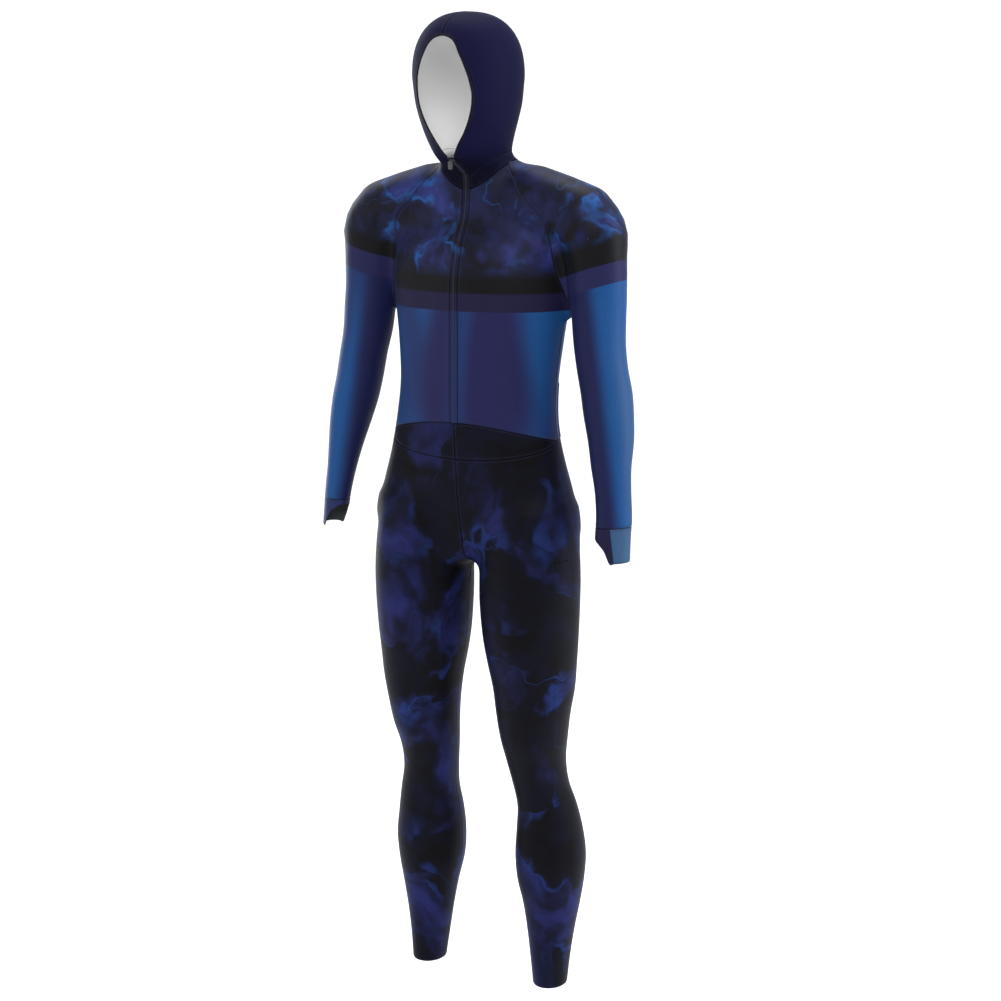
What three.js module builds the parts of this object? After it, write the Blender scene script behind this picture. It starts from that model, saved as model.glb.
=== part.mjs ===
// A hooded speed skating suit, filled out and standing, with a zipped front and thumb-cut cuffs.
// Units are millimetres. +X is the wearer's left, -Y the front, +Z up.
// Heights in the tables are above the floor; ORIGIN_HEIGHT moves the origin to the shoulder line.
import * as THREE from 'three';

const ORIGIN_HEIGHT = 1450;
const CLOTH = 1.3;
const SEAM_GAP = 0.3;
const ZIP_HALF_WIDTH = 7;

// Where the pieces meet
const WAIST = { front: 1106, side: 1077, back: 1077 };
const YOKE_DEPTH = 63;
const CROTCH_HEIGHT = 856;
const ARMPIT = { x: 170, y: 2, coreHeight: 1345 };
const NECKLINE = { coreHeight: 1470, coreY: 6, across: 60, ahead: 56, behind: 58 };
const HOOD_SEAM = { coreHeight: 1496, coreY: 4, across: 56, ahead: 52, behind: 54 };
const OPENING_TOP = 1740;
const OPENING_FOOT = 1542;
const CROWN = { z: 1776, y: -48 };
const HEAD_MIDDLE = 1672;
const WRIST_HEIGHT = 944;
const THUMB_CUT = 40;
const POCKET_TOP = 1175;

// How many faces the pieces have
const FRONT_COLUMNS = 9;
const SIDE_ROWS = 7;
const RAGLAN_ROWS = 7;
const BACK_COLUMNS = 8;
const NECK_FRONT = 4;
const NECK_TOP = 4;
const NECK_BACK = 4;

// The form's sections: half is the half width, front and back are places in Y, mid is the widest line
const TORSO = table(['z', 'half', 'front', 'back', 'mid'], [
  [1505, 62, -42, 56, 6],
  [1467, 108, -49, 74, 8],
  [1437, 134, -62, 86, 8],
  [1407, 150, -80, 96, 6],
  [1381, 157, -90, 100, 5],
  [1350, 160, -97, 101, 5],
  [1300, 158, -99, 99, 4],
  [1240, 151, -99, 83, 1],
  [1165, 145, -100, 70, -7],
  [1100, 149, -99, 71, -18],
  [1040, 161, -94, 85, -20],
  [980, 178, -88, 96, -21],
  [930, 188, -79, 98, -26],
  [900, 176, -72, 96, -22],
]);
const HEAD = table(['z', 'half', 'front', 'back', 'mid'], [
  [1672, 88, -149, 66, -42],
  [1631, 84, -143, 60, -40],
  [1605, 78, -135, 55, -40],
  [1579, 70, -125, 51, -38],
  [1560, 63, -118, 50, -31],
  [1545, 58, -108, 52, -22],
  [1530, 57, -82, 56, -6],
  [1515, 60, -54, 59, 4],
  [1495, 66, -46, 65, 8],
  [1460, 70, -44, 66, 8],
]);
const LEG = table(['z', 'x', 'y', 'half', 'depth'], [
  [960, 98, -16, 80, 72],
  [900, 101, -17, 86, 80],
  [840, 103, -18, 87, 87],
  [790, 103, -18, 86, 89],
  [726, 104, -16, 82, 86],
  [682, 106, -14, 77, 81],
  [637, 109, -13, 71, 74],
  [592, 108, -13, 64.5, 68],
  [547, 107, -8, 58.5, 64],
  [502, 106, 3, 52, 57],
  [456, 110, 14, 49, 54],
  [411, 118, 24, 52, 57],
  [364, 120, 31, 58.5, 63],
  [318, 121, 33, 62.5, 67],
  [272, 121, 34, 59.5, 64],
  [225, 123, 34, 50.5, 55],
  [178, 123, 32, 42.5, 47],
  [130, 123, 30, 36, 41],
  [74, 124, 27, 30, 35],
]);
// long lies between the wearer's outside and back, short across it
const ARM = table(['z', 'x', 'y', 'long', 'short'], [
  [1430, 204, 5, 54, 54],
  [1380, 212, 5, 50, 50],
  [1320, 217, 5, 46, 46],
  [1281, 219, 1, 45, 45],
  [1241, 222, -2, 43.5, 43.5],
  [1201, 229, -6, 43, 42],
  [1161, 237, -6, 43.5, 41.5],
  [1121, 244, -11, 42, 41],
  [1081, 251, -17, 38.5, 37],
  [1040, 256, -26, 34, 31],
  [999, 262, -31, 31, 26],
  [958, 267, -37, 31, 23],
  [925, 268, -43, 31, 21.5],
  [860, 271, -51, 30, 20],
]);
const SHOULDER = table(['x', 'y', 'z', 'radius'], [
  [50, 14, 1474, 60],
  [95, 12, 1469, 60],
  [140, 9, 1458, 58],
  [185, 6, 1444, 57],
  [206, 5, 1422, 56],
]);
// The raglan seam from the armpit to the neckline; y is where the seam lies over the form
const RAGLAN = table(['x', 'z', 'front', 'back'], [
  [176, 1340, -70, 66],
  [177, 1385, -80, 80],
  [166, 1428, -80, 90],
  [138, 1462, -70, 86],
  [104, 1490, -62, 74],
]);
// The face opening: half its width at each height
const OPENING = table(['z', 'half'], [
  [1736, 17],
  [1711, 34],
  [1678, 48],
  [1646, 53.5],
  [1616, 49],
  [1584, 35],
  [1560, 19],
]);
const SLEEVE_ROWS = [1290, 1262, 1232, 1200, 1168, 1135, 1100, 1062, 1022, 984, WRIST_HEIGHT];
const LEG_ROWS = [846, 806, 762, 716, 668, 620, 575, 532, 492, 454, 414, 374, 336, 298, 258, 214, 166, 120, 74];

const CLOTHS = {
  hood: material(0x14142c, 0.55),
  blue: material(0x1e3668, 0.45),
  cuff: material(0x35568c, 0.5),
  leg: material(0x0e0f22, 0.45),
  edge: material(0x0a0a12, 0.6),
  zip: material(0x1c2648, 0.5),
  metal: material(0x585f5c, 0.4, 0.7),
};

function material(color, roughness, metalness = 0) {
  return new THREE.MeshStandardMaterial({ color, roughness, metalness });
}

function table(columns, rows) {
  return rows.map((row) => Object.fromEntries(columns.map((name, i) => [name, row[i]])));
}

// Vectors
const vec = (x, y, z) => new THREE.Vector3(x, y, z);
const mix = (a, b, t) => a + (b - a) * t;
const mixVec = (a, b, t) => a.clone().lerp(b, t);
const clamp = (v, low, high) => Math.min(high, Math.max(low, v));
const ease = (t) => t * t * (3 - 2 * t);

/** A table's columns at height z, by a smooth curve through the rows, which run downwards. */
function section(rows, z) {
  const last = rows.length - 1;
  const height = clamp(z, rows[last].z, rows[0].z);
  let i = 0;
  while (i < last - 1 && rows[i + 1].z > height) i += 1;
  const below = rows[i + 1];
  const above = rows[i];
  const span = above.z - below.z;
  const t = (above.z - height) / span;
  const before = rows[Math.max(i - 1, 0)];
  const after = rows[Math.min(i + 2, last)];
  const out = { z };
  for (const name of Object.keys(above)) {
    if (name === 'z') continue;
    const slopeA = (below[name] - before[name]) / (before.z - below.z || 1) * span;
    const slopeB = (after[name] - above[name]) / (above.z - after.z || 1) * span;
    const t2 = t * t;
    const t3 = t2 * t;
    out[name] = (2 * t3 - 3 * t2 + 1) * above[name] + (t3 - 2 * t2 + t) * slopeA
      + (3 * t2 - 2 * t3) * below[name] + (t3 - t2) * slopeB;
  }
  return out;
}

// The form: each function gives a distance, below 0 inside
function ovalGap(x, y, front, back, half) {
  const depth = y < 0 ? front : back;
  const norm = Math.hypot(x / half, y / depth);
  return norm < 1e-6 ? -half : Math.hypot(x, y) * (1 - 1 / norm);
}

function domeGap(x, y, z, front, back, half, height, power) {
  const flat = Math.hypot(x / half, y / (y < 0 ? front : back));
  const norm = (flat ** power + Math.abs(z / height) ** power) ** (1 / power);
  return norm < 1e-6 ? -half : Math.hypot(x, y, z) * (1 - 1 / norm);
}

function torsoGap(p) {
  const s = section(TORSO, p.z);
  const front = s.mid - s.front;
  const back = s.back - s.mid;
  const foot = TORSO[TORSO.length - 1].z;
  if (p.z < foot) {
    return domeGap(p.x, p.y - s.mid, p.z - foot, front, back, s.half, foot - CROTCH_HEIGHT, 2.4);
  }
  return Math.max(ovalGap(p.x, p.y - s.mid, front, back, s.half), p.z - TORSO[0].z);
}

function headGap(p) {
  const s = section(HEAD, p.z);
  const front = s.mid - s.front;
  const back = s.back - s.mid;
  if (p.z > HEAD_MIDDLE) {
    const rise = CROWN.z - HEAD_MIDDLE;
    return domeGap(p.x, p.y - s.mid, p.z - HEAD_MIDDLE, front, back, s.half, rise, 2.4);
  }
  return ovalGap(p.x, p.y - s.mid, front, back, s.half);
}

function legGap(p) {
  const s = section(LEG, p.z);
  const over = Math.max(0, p.z - LEG[0].z);
  return ovalGap(Math.abs(p.x) - s.x, p.y - s.y, s.depth, s.depth, s.half) + over;
}

function armGap(p) {
  const s = section(ARM, p.z);
  const dx = Math.abs(p.x) - s.x;
  const dy = p.y - s.y;
  const over = Math.max(0, p.z - ARM[0].z);
  return ovalGap((dx + dy) * Math.SQRT1_2, (dy - dx) * Math.SQRT1_2, s.short, s.short, s.long) + over;
}

function shoulderGap(p) {
  let best = Infinity;
  const at = vec(Math.abs(p.x), p.y, p.z);
  for (let i = 0; i + 1 < SHOULDER.length; i += 1) {
    const a = SHOULDER[i];
    const b = SHOULDER[i + 1];
    const from = vec(a.x, a.y, a.z);
    const along = vec(b.x, b.y, b.z).sub(from);
    const t = clamp(at.clone().sub(from).dot(along) / along.lengthSq(), 0, 1);
    const gap = at.distanceTo(from.addScaledVector(along, t)) - mix(a.radius, b.radius, t);
    best = Math.min(best, gap);
  }
  return best;
}

function blend(a, b, width) {
  const h = Math.max(width - Math.abs(a - b), 0) / width;
  return Math.min(a, b) - h * h * width / 4;
}

function formGap(p) {
  if (p.z < 1010) {
    const low = blend(torsoGap(p), legGap(p), 24);
    return Math.abs(p.x) > 190 || p.z < 960 ? Math.min(low, armGap(p)) : low;
  }
  let gap = torsoGap(p);
  if (p.z > 1180) {
    const arm = blend(armGap(p), shoulderGap(p), 12);
    gap = blend(gap, arm, 30);
  } else {
    gap = Math.min(gap, armGap(p));
  }
  return p.z > 1440 ? blend(gap, headGap(p), 26) : gap;
}

function formNormal(p) {
  const step = 1.5;
  const slope = (dx, dy, dz) => formGap(vec(p.x + dx, p.y + dy, p.z + dz))
    - formGap(vec(p.x - dx, p.y - dy, p.z - dz));
  return vec(slope(step, 0, 0), slope(0, step, 0), slope(0, 0, step)).normalize();
}

/** The point where the ray from core through guide leaves the form. */
function onForm(core, guide) {
  const way = guide.clone().sub(core).normalize();
  let low = 0;
  let high = 0;
  while (high < 420) {
    high += 4;
    if (formGap(core.clone().addScaledVector(way, high)) > 0) break;
    low = high;
  }
  for (let i = 0; i < 16; i += 1) {
    const middle = (low + high) / 2;
    if (formGap(core.clone().addScaledVector(way, middle)) > 0) high = middle;
    else low = middle;
  }
  return core.clone().addScaledVector(way, low);
}

/** Evenly spaced points along a smooth curve through the given points. */
function evenly(points, count) {
  return new THREE.CatmullRomCurve3(points, false, 'centripetal').getSpacedPoints(count);
}

// Seam lines of the left half
function torsoCore(z) {
  return vec(0, section(TORSO, clamp(z, 900, 1400)).mid, clamp(z, 905, 1400));
}

function frontPoint(x, z) {
  const mid = section(TORSO, z).mid;
  return onForm(vec(x, mid, z), vec(x, mid - 100, z));
}

/** The waist seam's left half, from the zip's edge round to the middle of the back. */
function waistSeam() {
  const count = FRONT_COLUMNS + BACK_COLUMNS;
  const points = [];
  for (let i = 0; i <= count; i += 1) {
    const t = i <= FRONT_COLUMNS
      ? i / FRONT_COLUMNS * 0.5
      : 0.5 + (i - FRONT_COLUMNS) / BACK_COLUMNS * 0.5;
    const turn = Math.PI * mix(0.016, 1, t);
    const rise = Math.max(0, Math.cos(turn)) ** 1.4;
    const z = mix(WAIST.side, WAIST.front, rise);
    const core = torsoCore(z);
    core.z = z;
    points.push(onForm(core, vec(150 * Math.sin(turn), core.y - 95 * Math.cos(turn), z)));
  }
  points[0] = frontPoint(ZIP_HALF_WIDTH, points[0].z);
  points[count].x = 0;
  return points;
}

/** A ring round the neck, left half: height gives how far up each ray looks. */
function neckRing(ring, height) {
  const count = NECK_FRONT + NECK_TOP + NECK_BACK;
  const core = vec(0, ring.coreY, ring.coreHeight);
  const points = [];
  for (let i = 0; i <= count; i += 1) {
    const turn = Math.PI * mix(0.04, 1, i / count);
    const depth = Math.cos(turn) > 0 ? ring.ahead : ring.behind;
    const guide = vec(ring.across * Math.sin(turn), -depth * Math.cos(turn), 0);
    guide.y += ring.coreY;
    guide.z = ring.coreHeight + height(turn);
    points.push(onForm(core, guide));
  }
  points[0] = onForm(vec(ZIP_HALF_WIDTH, ring.coreY, ring.coreHeight),
    vec(ZIP_HALF_WIDTH, ring.coreY - ring.ahead, ring.coreHeight + height(0)));
  points[count] = onForm(core, vec(0, ring.coreY + ring.behind, ring.coreHeight + height(Math.PI)));
  return points;
}

const neckline = neckRing(NECKLINE, (turn) => mix(19, 64, ease(clamp(turn / 1.6, 0, 1))));
const hoodSeam = neckRing(HOOD_SEAM, (turn) => mix(15, 58, ease(clamp(turn / 1.7, 0, 1))));
const waist = waistSeam();
const armpit = onForm(vec(ARMPIT.x, ARMPIT.y, ARMPIT.coreHeight), vec(ARMPIT.x, ARMPIT.y, 1200));

/** The raglan seam from the armpit to the neckline, on the front or the back. */
function raglanSeam(face) {
  const end = neckline[face === 'front' ? NECK_FRONT : NECK_FRONT + NECK_TOP];
  const core = vec(120, 4, 1420);
  const guides = [armpit.clone()];
  for (const row of RAGLAN) {
    guides.push(onForm(core, vec(row.x, row[face], row.z)));
  }
  guides.push(end.clone());
  const points = evenly(guides, RAGLAN_ROWS).map((p) => onForm(core, p));
  points[0] = armpit.clone();
  points[RAGLAN_ROWS] = end.clone();
  return points;
}

const raglanFront = raglanSeam('front');
const raglanBack = raglanSeam('back');

function sideSeam() {
  const points = [];
  const foot = waist[FRONT_COLUMNS];
  for (let i = 0; i <= SIDE_ROWS; i += 1) {
    const guide = mixVec(foot, armpit, i / SIDE_ROWS);
    const core = torsoCore(guide.z);
    core.z = guide.z;
    points.push(onForm(core, guide));
  }
  points[0] = foot.clone();
  points[SIDE_ROWS] = armpit.clone();
  return points;
}

/** A four-sided patch: foot and head run across, left and right run up; inner points are put on the form. */
function patch(foot, head, left, right, coreOf) {
  const rows = left.length - 1;
  const columns = foot.length - 1;
  const grid = [];
  for (let r = 0; r <= rows; r += 1) {
    const v = r / rows;
    const line = [];
    for (let c = 0; c <= columns; c += 1) {
      const u = c / columns;
      if (r === 0) line.push(foot[c].clone());
      else if (r === rows) line.push(head[c].clone());
      else if (c === 0) line.push(left[r].clone());
      else if (c === columns) line.push(right[r].clone());
      else {
        const p = mixVec(foot[c], head[c], v).add(mixVec(left[r], right[r], u));
        p.sub(mixVec(foot[0], foot[columns], u).multiplyScalar(1 - v));
        p.sub(mixVec(head[0], head[columns], u).multiplyScalar(v));
        line.push(onForm(coreOf(p, u, v), p));
      }
    }
    grid.push(line);
  }
  return grid;
}

// Cloth walls
/** Moves each free edge of a grid in by half a seam gap, along the cloth. */
function trimEdges(grid, edges) {
  const rows = grid.length - 1;
  const columns = grid[0].length - 1;
  const half = SEAM_GAP / 2;
  const moved = grid.map((line) => line.map((p) => p.clone()));
  const push = (r, c, towardR, towardC) => {
    const way = grid[towardR][towardC].clone().sub(grid[r][c]);
    if (way.lengthSq() > 1e-9) moved[r][c].addScaledVector(way.normalize(), half);
  };
  for (let c = 0; c <= columns; c += 1) {
    if (edges.foot) push(0, c, 1, c);
    if (edges.head) push(rows, c, rows - 1, c);
  }
  for (let r = 0; r <= rows; r += 1) {
    if (edges.left && (!edges.leftRows || r < edges.leftRows)) push(r, 0, r, 1);
    if (edges.right && (!edges.leftRows || r < edges.leftRows)) push(r, columns, r, columns - 1);
  }
  return moved;
}

/** Keeps every point of a left piece half a seam gap off the middle plane. */
function offMiddle(grid) {
  grid.forEach((line) => line.forEach((p) => { p.x = Math.max(p.x, SEAM_GAP / 2); }));
  return grid;
}

/** A closed wall from a grid of outer points. Rows at or past closeFrom join their two ends. */
function wall(grid, { closeFrom = Infinity, outer = 0, thick = CLOTH, flip = false, normals = null } = {}) {
  const columns = grid[0].length;
  const number = new Map();
  const points = [];
  const faces = [];
  const indexOf = (r, c) => {
    const column = r >= closeFrom && c === columns - 1 ? 0 : c;
    const key = r * columns + column;
    if (!number.has(key)) {
      number.set(key, points.length / 2);
      const p = grid[r][column];
      const n = normals ? normals(p, r, column) : formNormal(vec(Math.max(p.x, 0), p.y, p.z));
      points.push(p.clone().addScaledVector(n, outer), p.clone().addScaledVector(n, outer - thick));
    }
    return number.get(key);
  };
  const edges = new Map();
  const addFace = (a, b, c) => {
    if (a === b || b === c || a === c) return;
    faces.push([2 * a, 2 * b, 2 * c], [2 * a + 1, 2 * c + 1, 2 * b + 1]);
    for (const [from, to] of [[a, b], [b, c], [c, a]]) {
      const back = `${to},${from}`;
      if (edges.has(back)) edges.delete(back);
      else edges.set(`${from},${to}`, [from, to]);
    }
  };
  for (let r = 0; r + 1 < grid.length; r += 1) {
    for (let c = 0; c + 1 < columns; c += 1) {
      const a = indexOf(r, c);
      const b = indexOf(r, c + 1);
      const d = indexOf(r + 1, c);
      const e = indexOf(r + 1, c + 1);
      addFace(a, b, e);
      addFace(a, e, d);
    }
  }
  for (const [from, to] of edges.values()) {
    faces.push([2 * from, 2 * from + 1, 2 * to + 1], [2 * from, 2 * to + 1, 2 * to]);
  }
  return solid(points, flip ? faces.map(([a, b, c]) => [a, c, b]) : faces);
}

function solid(points, faces) {
  const geometry = new THREE.BufferGeometry();
  geometry.setAttribute('position', new THREE.Float32BufferAttribute(points.flatMap((p) => [p.x, p.y, p.z]), 3));
  geometry.setIndex(faces.flat());
  if (volume(points, faces) < 0) geometry.setIndex(faces.map(([a, b, c]) => [a, c, b]).flat());
  return geometry;
}

function volume(points, faces) {
  let sum = 0;
  for (const [a, b, c] of faces) {
    sum += points[a].dot(points[b].clone().cross(points[c]));
  }
  return sum / 6;
}

function mirrored(geometry) {
  const copy = geometry.clone();
  const place = copy.getAttribute('position');
  for (let i = 0; i < place.count; i += 1) place.setX(i, -place.getX(i));
  const index = Array.from(copy.getIndex().array);
  for (let i = 0; i < index.length; i += 3) {
    [index[i + 1], index[i + 2]] = [index[i + 2], index[i + 1]];
  }
  copy.setIndex(index);
  return copy;
}

const suit = new THREE.Group();
const body = new THREE.Group();
body.position.set(0, 0, -ORIGIN_HEIGHT);
suit.add(body);

function addPiece(name, geometry, cloth) {
  geometry.computeVertexNormals();
  const mesh = new THREE.Mesh(geometry, cloth.clone());
  mesh.name = name;
  body.add(mesh);
}

function addPair(name, geometry, cloth) {
  addPiece(`${name}_left`, geometry, cloth);
  addPiece(`${name}_right`, mirrored(geometry), cloth);
}

// Top: fronts and back
const sideLine = sideSeam();
const outerFront = [...sideLine, ...raglanFront.slice(1)];
const outerBack = [...sideLine, ...raglanBack.slice(1)];

function frontEdge(x, count) {
  const points = [];
  for (let i = 0; i <= count; i += 1) {
    points.push(frontPoint(x, mix(waist[0].z, neckline[0].z, i / count)));
  }
  points[0] = waist[0].clone();
  points[count] = neckline[0].clone();
  return points;
}


function makeFront() {
  const foot = waist.slice(0, FRONT_COLUMNS + 1);
  const neck = neckline.slice(0, NECK_FRONT + 1);
  const head = stretchTo(neck, FRONT_COLUMNS);
  const grid = patch(foot, head, frontEdge(ZIP_HALF_WIDTH, SIDE_ROWS + RAGLAN_ROWS), outerFront,
    (p) => torsoCore(p.z));
  return trimEdges(grid, { foot: true, head: true, left: true, right: true });
}

/** Shares out more points along a line, keeping each of its own, so that neighbours still match. */
function stretchTo(points, count) {
  const spans = points.length - 1;
  const out = [points[0].clone()];
  for (let s = 0; s < spans; s += 1) {
    const steps = Math.round((s + 1) * count / spans) - Math.round(s * count / spans);
    for (let i = 1; i <= steps; i += 1) out.push(mixVec(points[s], points[s + 1], i / steps));
  }
  return out;
}

function centreBack(count) {
  const top = neckline[neckline.length - 1];
  const points = [];
  for (let i = 0; i <= count; i += 1) {
    const z = mix(waist[waist.length - 1].z, top.z, i / count);
    const core = vec(0, 0, Math.min(z, 1480));
    points.push(onForm(core, vec(0, 100, z)));
  }
  points[0] = waist[waist.length - 1].clone();
  points[count] = top.clone();
  return points;
}

function backHalf() {
  const foot = waist.slice(FRONT_COLUMNS);
  const head = stretchTo(neckline.slice(NECK_FRONT + NECK_TOP), BACK_COLUMNS);
  return patch(foot, head, outerBack, centreBack(SIDE_ROWS + RAGLAN_ROWS), (p) => torsoCore(p.z));
}

function bothHalves(half) {
  return half.map((line) => [...line, ...line.slice(0, -1).reverse().map((p) => vec(-p.x, p.y, p.z))]);
}

const sideways = (p) => {
  const n = formNormal(vec(Math.abs(p.x), p.y, p.z));
  return p.x < 0 ? vec(-n.x, n.y, n.z) : n;
};

addPair('front', wall(makeFront()), CLOTHS.blue);
const backGrid = bothHalves(backHalf());
addPiece('back', wall(trimEdges(backGrid, { foot: true, head: true, left: true, right: true }),
  { normals: sideways }), CLOTHS.blue);

// Back pocket: a panel laid on the back above the waist seam
function pocketGrid() {
  const rows = backGrid.filter((line) => line[BACK_COLUMNS].z <= POCKET_TOP + 12);
  return trimEdges(rows.map((line) => line.slice(1, -1)), { foot: true });
}
addPiece('back_pocket', wall(pocketGrid(), { outer: CLOTH + SEAM_GAP, normals: sideways }), CLOTHS.blue);

// Sleeves
function armPoint(turn, z) {
  const s = section(ARM, z);
  const core = vec(s.x, s.y, z);
  return onForm(core, core.clone().add(vec(Math.cos(turn), Math.sin(turn), 0)));
}

/** One ring of a sleeve, from the inside of the arm round the front; tilt drops its inner side. */
function sleeveRing(z, tilt, count) {
  const ring = [];
  for (let j = 0; j <= count; j += 1) {
    const turn = Math.PI + 2 * Math.PI * j / count;
    ring.push(armPoint(turn, z + tilt * Math.cos(turn)));
  }
  return ring;
}

function sleeveLoop() {
  const top = neckline.slice(NECK_FRONT + 1, NECK_FRONT + NECK_TOP);
  return [...raglanFront, ...top, ...raglanBack.slice().reverse()];
}

const loop = sleeveLoop();
const AROUND_ARM = loop.length - 1;
const SHOULDER_ROWS = 7;

/** A place inside the shoulder from which the cloth near seam point p is looked for. */
function shoulderCore(p) {
  return vec(clamp(p.x + 22, 100, 198), 5, clamp(p.z + 22, 1330, 1452));
}

/** At each point of the raglan loop, the way across the seam into the sleeve, less near the armpit. */
function intoSleeve() {
  return loop.map((p, j) => {
    const before = loop[j === 0 ? AROUND_ARM - 1 : j - 1];
    const after = loop[j === AROUND_ARM ? 1 : j + 1];
    const share = Math.min(1, Math.min(j, AROUND_ARM - j) / 3);
    return after.clone().sub(before).cross(formNormal(p)).normalize().multiplyScalar(share);
  });
}

function sleeveGrid() {
  const first = sleeveRing(SLEEVE_ROWS[0], 30, AROUND_ARM);
  const away = intoSleeve();
  const grid = [loop.map((p) => p.clone())];
  for (let r = 1; r < SHOULDER_ROWS; r += 1) {
    const t = r / SHOULDER_ROWS;
    const arm = vec(216, 4, SLEEVE_ROWS[0]);
    grid.push(loop.map((p, j) => {
      const guide = mixVec(p, first[j], t).addScaledVector(away[j], 7 * (1 - t));
      return onForm(mixVec(shoulderCore(p), arm, ease(t)), guide);
    }));
  }
  grid.push(first);
  SLEEVE_ROWS.slice(1).forEach((z, i) => {
    grid.push(sleeveRing(z, 30 * (1 - (i + 1) / (SLEEVE_ROWS.length - 1)), AROUND_ARM));
  });
  return grid;
}

const sleeve = sleeveGrid();
addPair('sleeve', wall(trimEdges(sleeve, { foot: true, head: true }), { closeFrom: 0 }), CLOTHS.blue);

// Cuffs: a short tube with a thumb cut on its inner side
function cuffGrid(thumbTurn, length) {
  const rows = 4;
  const grid = [sleeve[sleeve.length - 1].map((p) => p.clone())];
  for (let r = 1; r <= rows; r += 1) {
    const ring = [];
    for (let j = 0; j <= AROUND_ARM; j += 1) {
      const turn = Math.PI + 2 * Math.PI * j / AROUND_ARM;
      const off = Math.abs(Math.atan2(Math.sin(turn - thumbTurn), Math.cos(turn - thumbTurn)));
      const across = clamp(off / 1.5, 0, 1);
      const cut = THUMB_CUT * Math.sqrt(1 - across * across);
      ring.push(armPoint(turn, WRIST_HEIGHT - (length - cut) * r / rows));
    }
    grid.push(ring);
  }
  return trimEdges(grid, { foot: true });
}

addPiece('cuff_left', wall(cuffGrid(Math.PI + 0.1, 58), { closeFrom: 0 }), CLOTHS.cuff);
addPiece('cuff_right', mirrored(wall(cuffGrid(Math.PI + 0.35, 48), { closeFrom: 0 })), CLOTHS.cuff);

// Yoke below the waist seam, and the legs
function yokeLines() {
  const head = [frontPoint(0, waist[0].z), ...waist.slice(0, FRONT_COLUMNS + 1)];
  const count = head.length - 1;
  const foot = head.map((p, i) => {
    const t = i / count;
    const z = mix(waist[0].z - YOKE_DEPTH, waist[FRONT_COLUMNS].z, t ** 2.6);
    const core = torsoCore(z);
    core.z = z;
    return i === count ? head[count].clone() : onForm(core, vec(p.x, p.y, z));
  });
  foot[0].x = 0;
  head[0].x = 0;
  return { head, foot };
}

const yoke = yokeLines();

function yokeGrid() {
  const last = yoke.head.length - 1;
  const half = SEAM_GAP / 2;
  const middle = yoke.head.map((p, i) => {
    const guide = mixVec(p, yoke.foot[i], 0.5);
    const core = torsoCore(guide.z);
    core.z = guide.z;
    return i === last ? p.clone() : onForm(core, guide);
  });
  const grid = [yoke.foot, middle, yoke.head].map((line) => line.slice(0, last).map((p) => p.clone()));
  grid[0].forEach((p) => { p.z += half; });
  grid[2].forEach((p) => { p.z -= half; });
  grid.forEach((line) => { line[0].x += half; });
  return grid;
}

addPair('front_yoke', wall(yokeGrid()), CLOTHS.leg);

function centreSeam(from, side) {
  const core = vec(0, 8, 940);
  const crotch = onForm(core, vec(0, 8, 800));
  const start = Math.atan2(from.z - core.z, (from.y - core.y) * side);
  const points = [];
  const count = 8;
  for (let i = 0; i <= count; i += 1) {
    const angle = mix(start, -Math.PI / 2, i / count);
    const way = vec(0, Math.cos(angle) * side, Math.sin(angle));
    points.push(onForm(core, core.clone().add(way)));
  }
  points[0] = from.clone();
  points[count] = crotch;
  return points;
}

function legGrid() {
  const top = [...yoke.foot.map((p) => p.clone()), ...waist.slice(FRONT_COLUMNS + 1)];
  const count = top.length - 1;
  const ring = (z, lift = 0) => {
    const s = section(LEG, z);
    const line = [];
    for (let j = 0; j <= count; j += 1) {
      const turn = Math.PI + 2 * Math.PI * j / count;
      const core = vec(s.x, s.y, z + lift * (1 - Math.cos(turn + Math.PI)) / 2);
      line.push(onForm(core, core.clone().add(vec(Math.cos(turn), Math.sin(turn), 0))));
    }
    return line;
  };
  const frontSeam = centreSeam(top[0], -1);
  const backSeam = centreSeam(top[count], 1);
  const loopRing = ring(LEG_ROWS[0], 30);
  const crotch = frontSeam[frontSeam.length - 1];
  loopRing[0] = crotch.clone();
  loopRing[count] = crotch.clone();
  const upper = patch(top, loopRing, frontSeam, backSeam, (p, u, v) => {
    const middle = section(TORSO, p.z).mid;
    const height = clamp(p.z, 870, 1100);
    return vec(mix(0, 92, ease(v)), mix(middle, -14, v), height);
  });
  const open = upper.length - 1;
  const lower = LEG_ROWS.slice(1).map((z, i) => ring(z, 30 * (1 - (i + 1) / 5) * (i < 4 ? 1 : 0)));
  const grid = [...upper, ...lower];
  const trimmed = trimEdges(grid, { foot: true, left: true, right: true, leftRows: open });
  trimmed[open][0].z -= SEAM_GAP / 2;
  trimmed[open][0].x += SEAM_GAP / 2;
  return { grid: trimmed, open };
}

const leg = legGrid();
addPair('leg', wall(leg.grid, { closeFrom: leg.open }), CLOTHS.leg);

// Collar and hood
function collarGrid() {
  return trimEdges([neckline, hoodSeam].map((line) => line.map((p) => p.clone())),
    { foot: true, head: true, left: true, right: true });
}
addPair('collar', wall(collarGrid()), CLOTHS.hood);

function headCore(p) {
  const t = clamp((p.z - 1510) / 80, 0, 1);
  return vec(0, mix(2, -48, ease(t)), clamp(p.z, 1520, HEAD_MIDDLE));
}

const OPENING_ROWS = 10;
const CHIN_ROWS = 3;

function openingPoint(half, z) {
  const core = vec(half, -46, z);
  return onForm(core, vec(half, -146, z));
}

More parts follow.
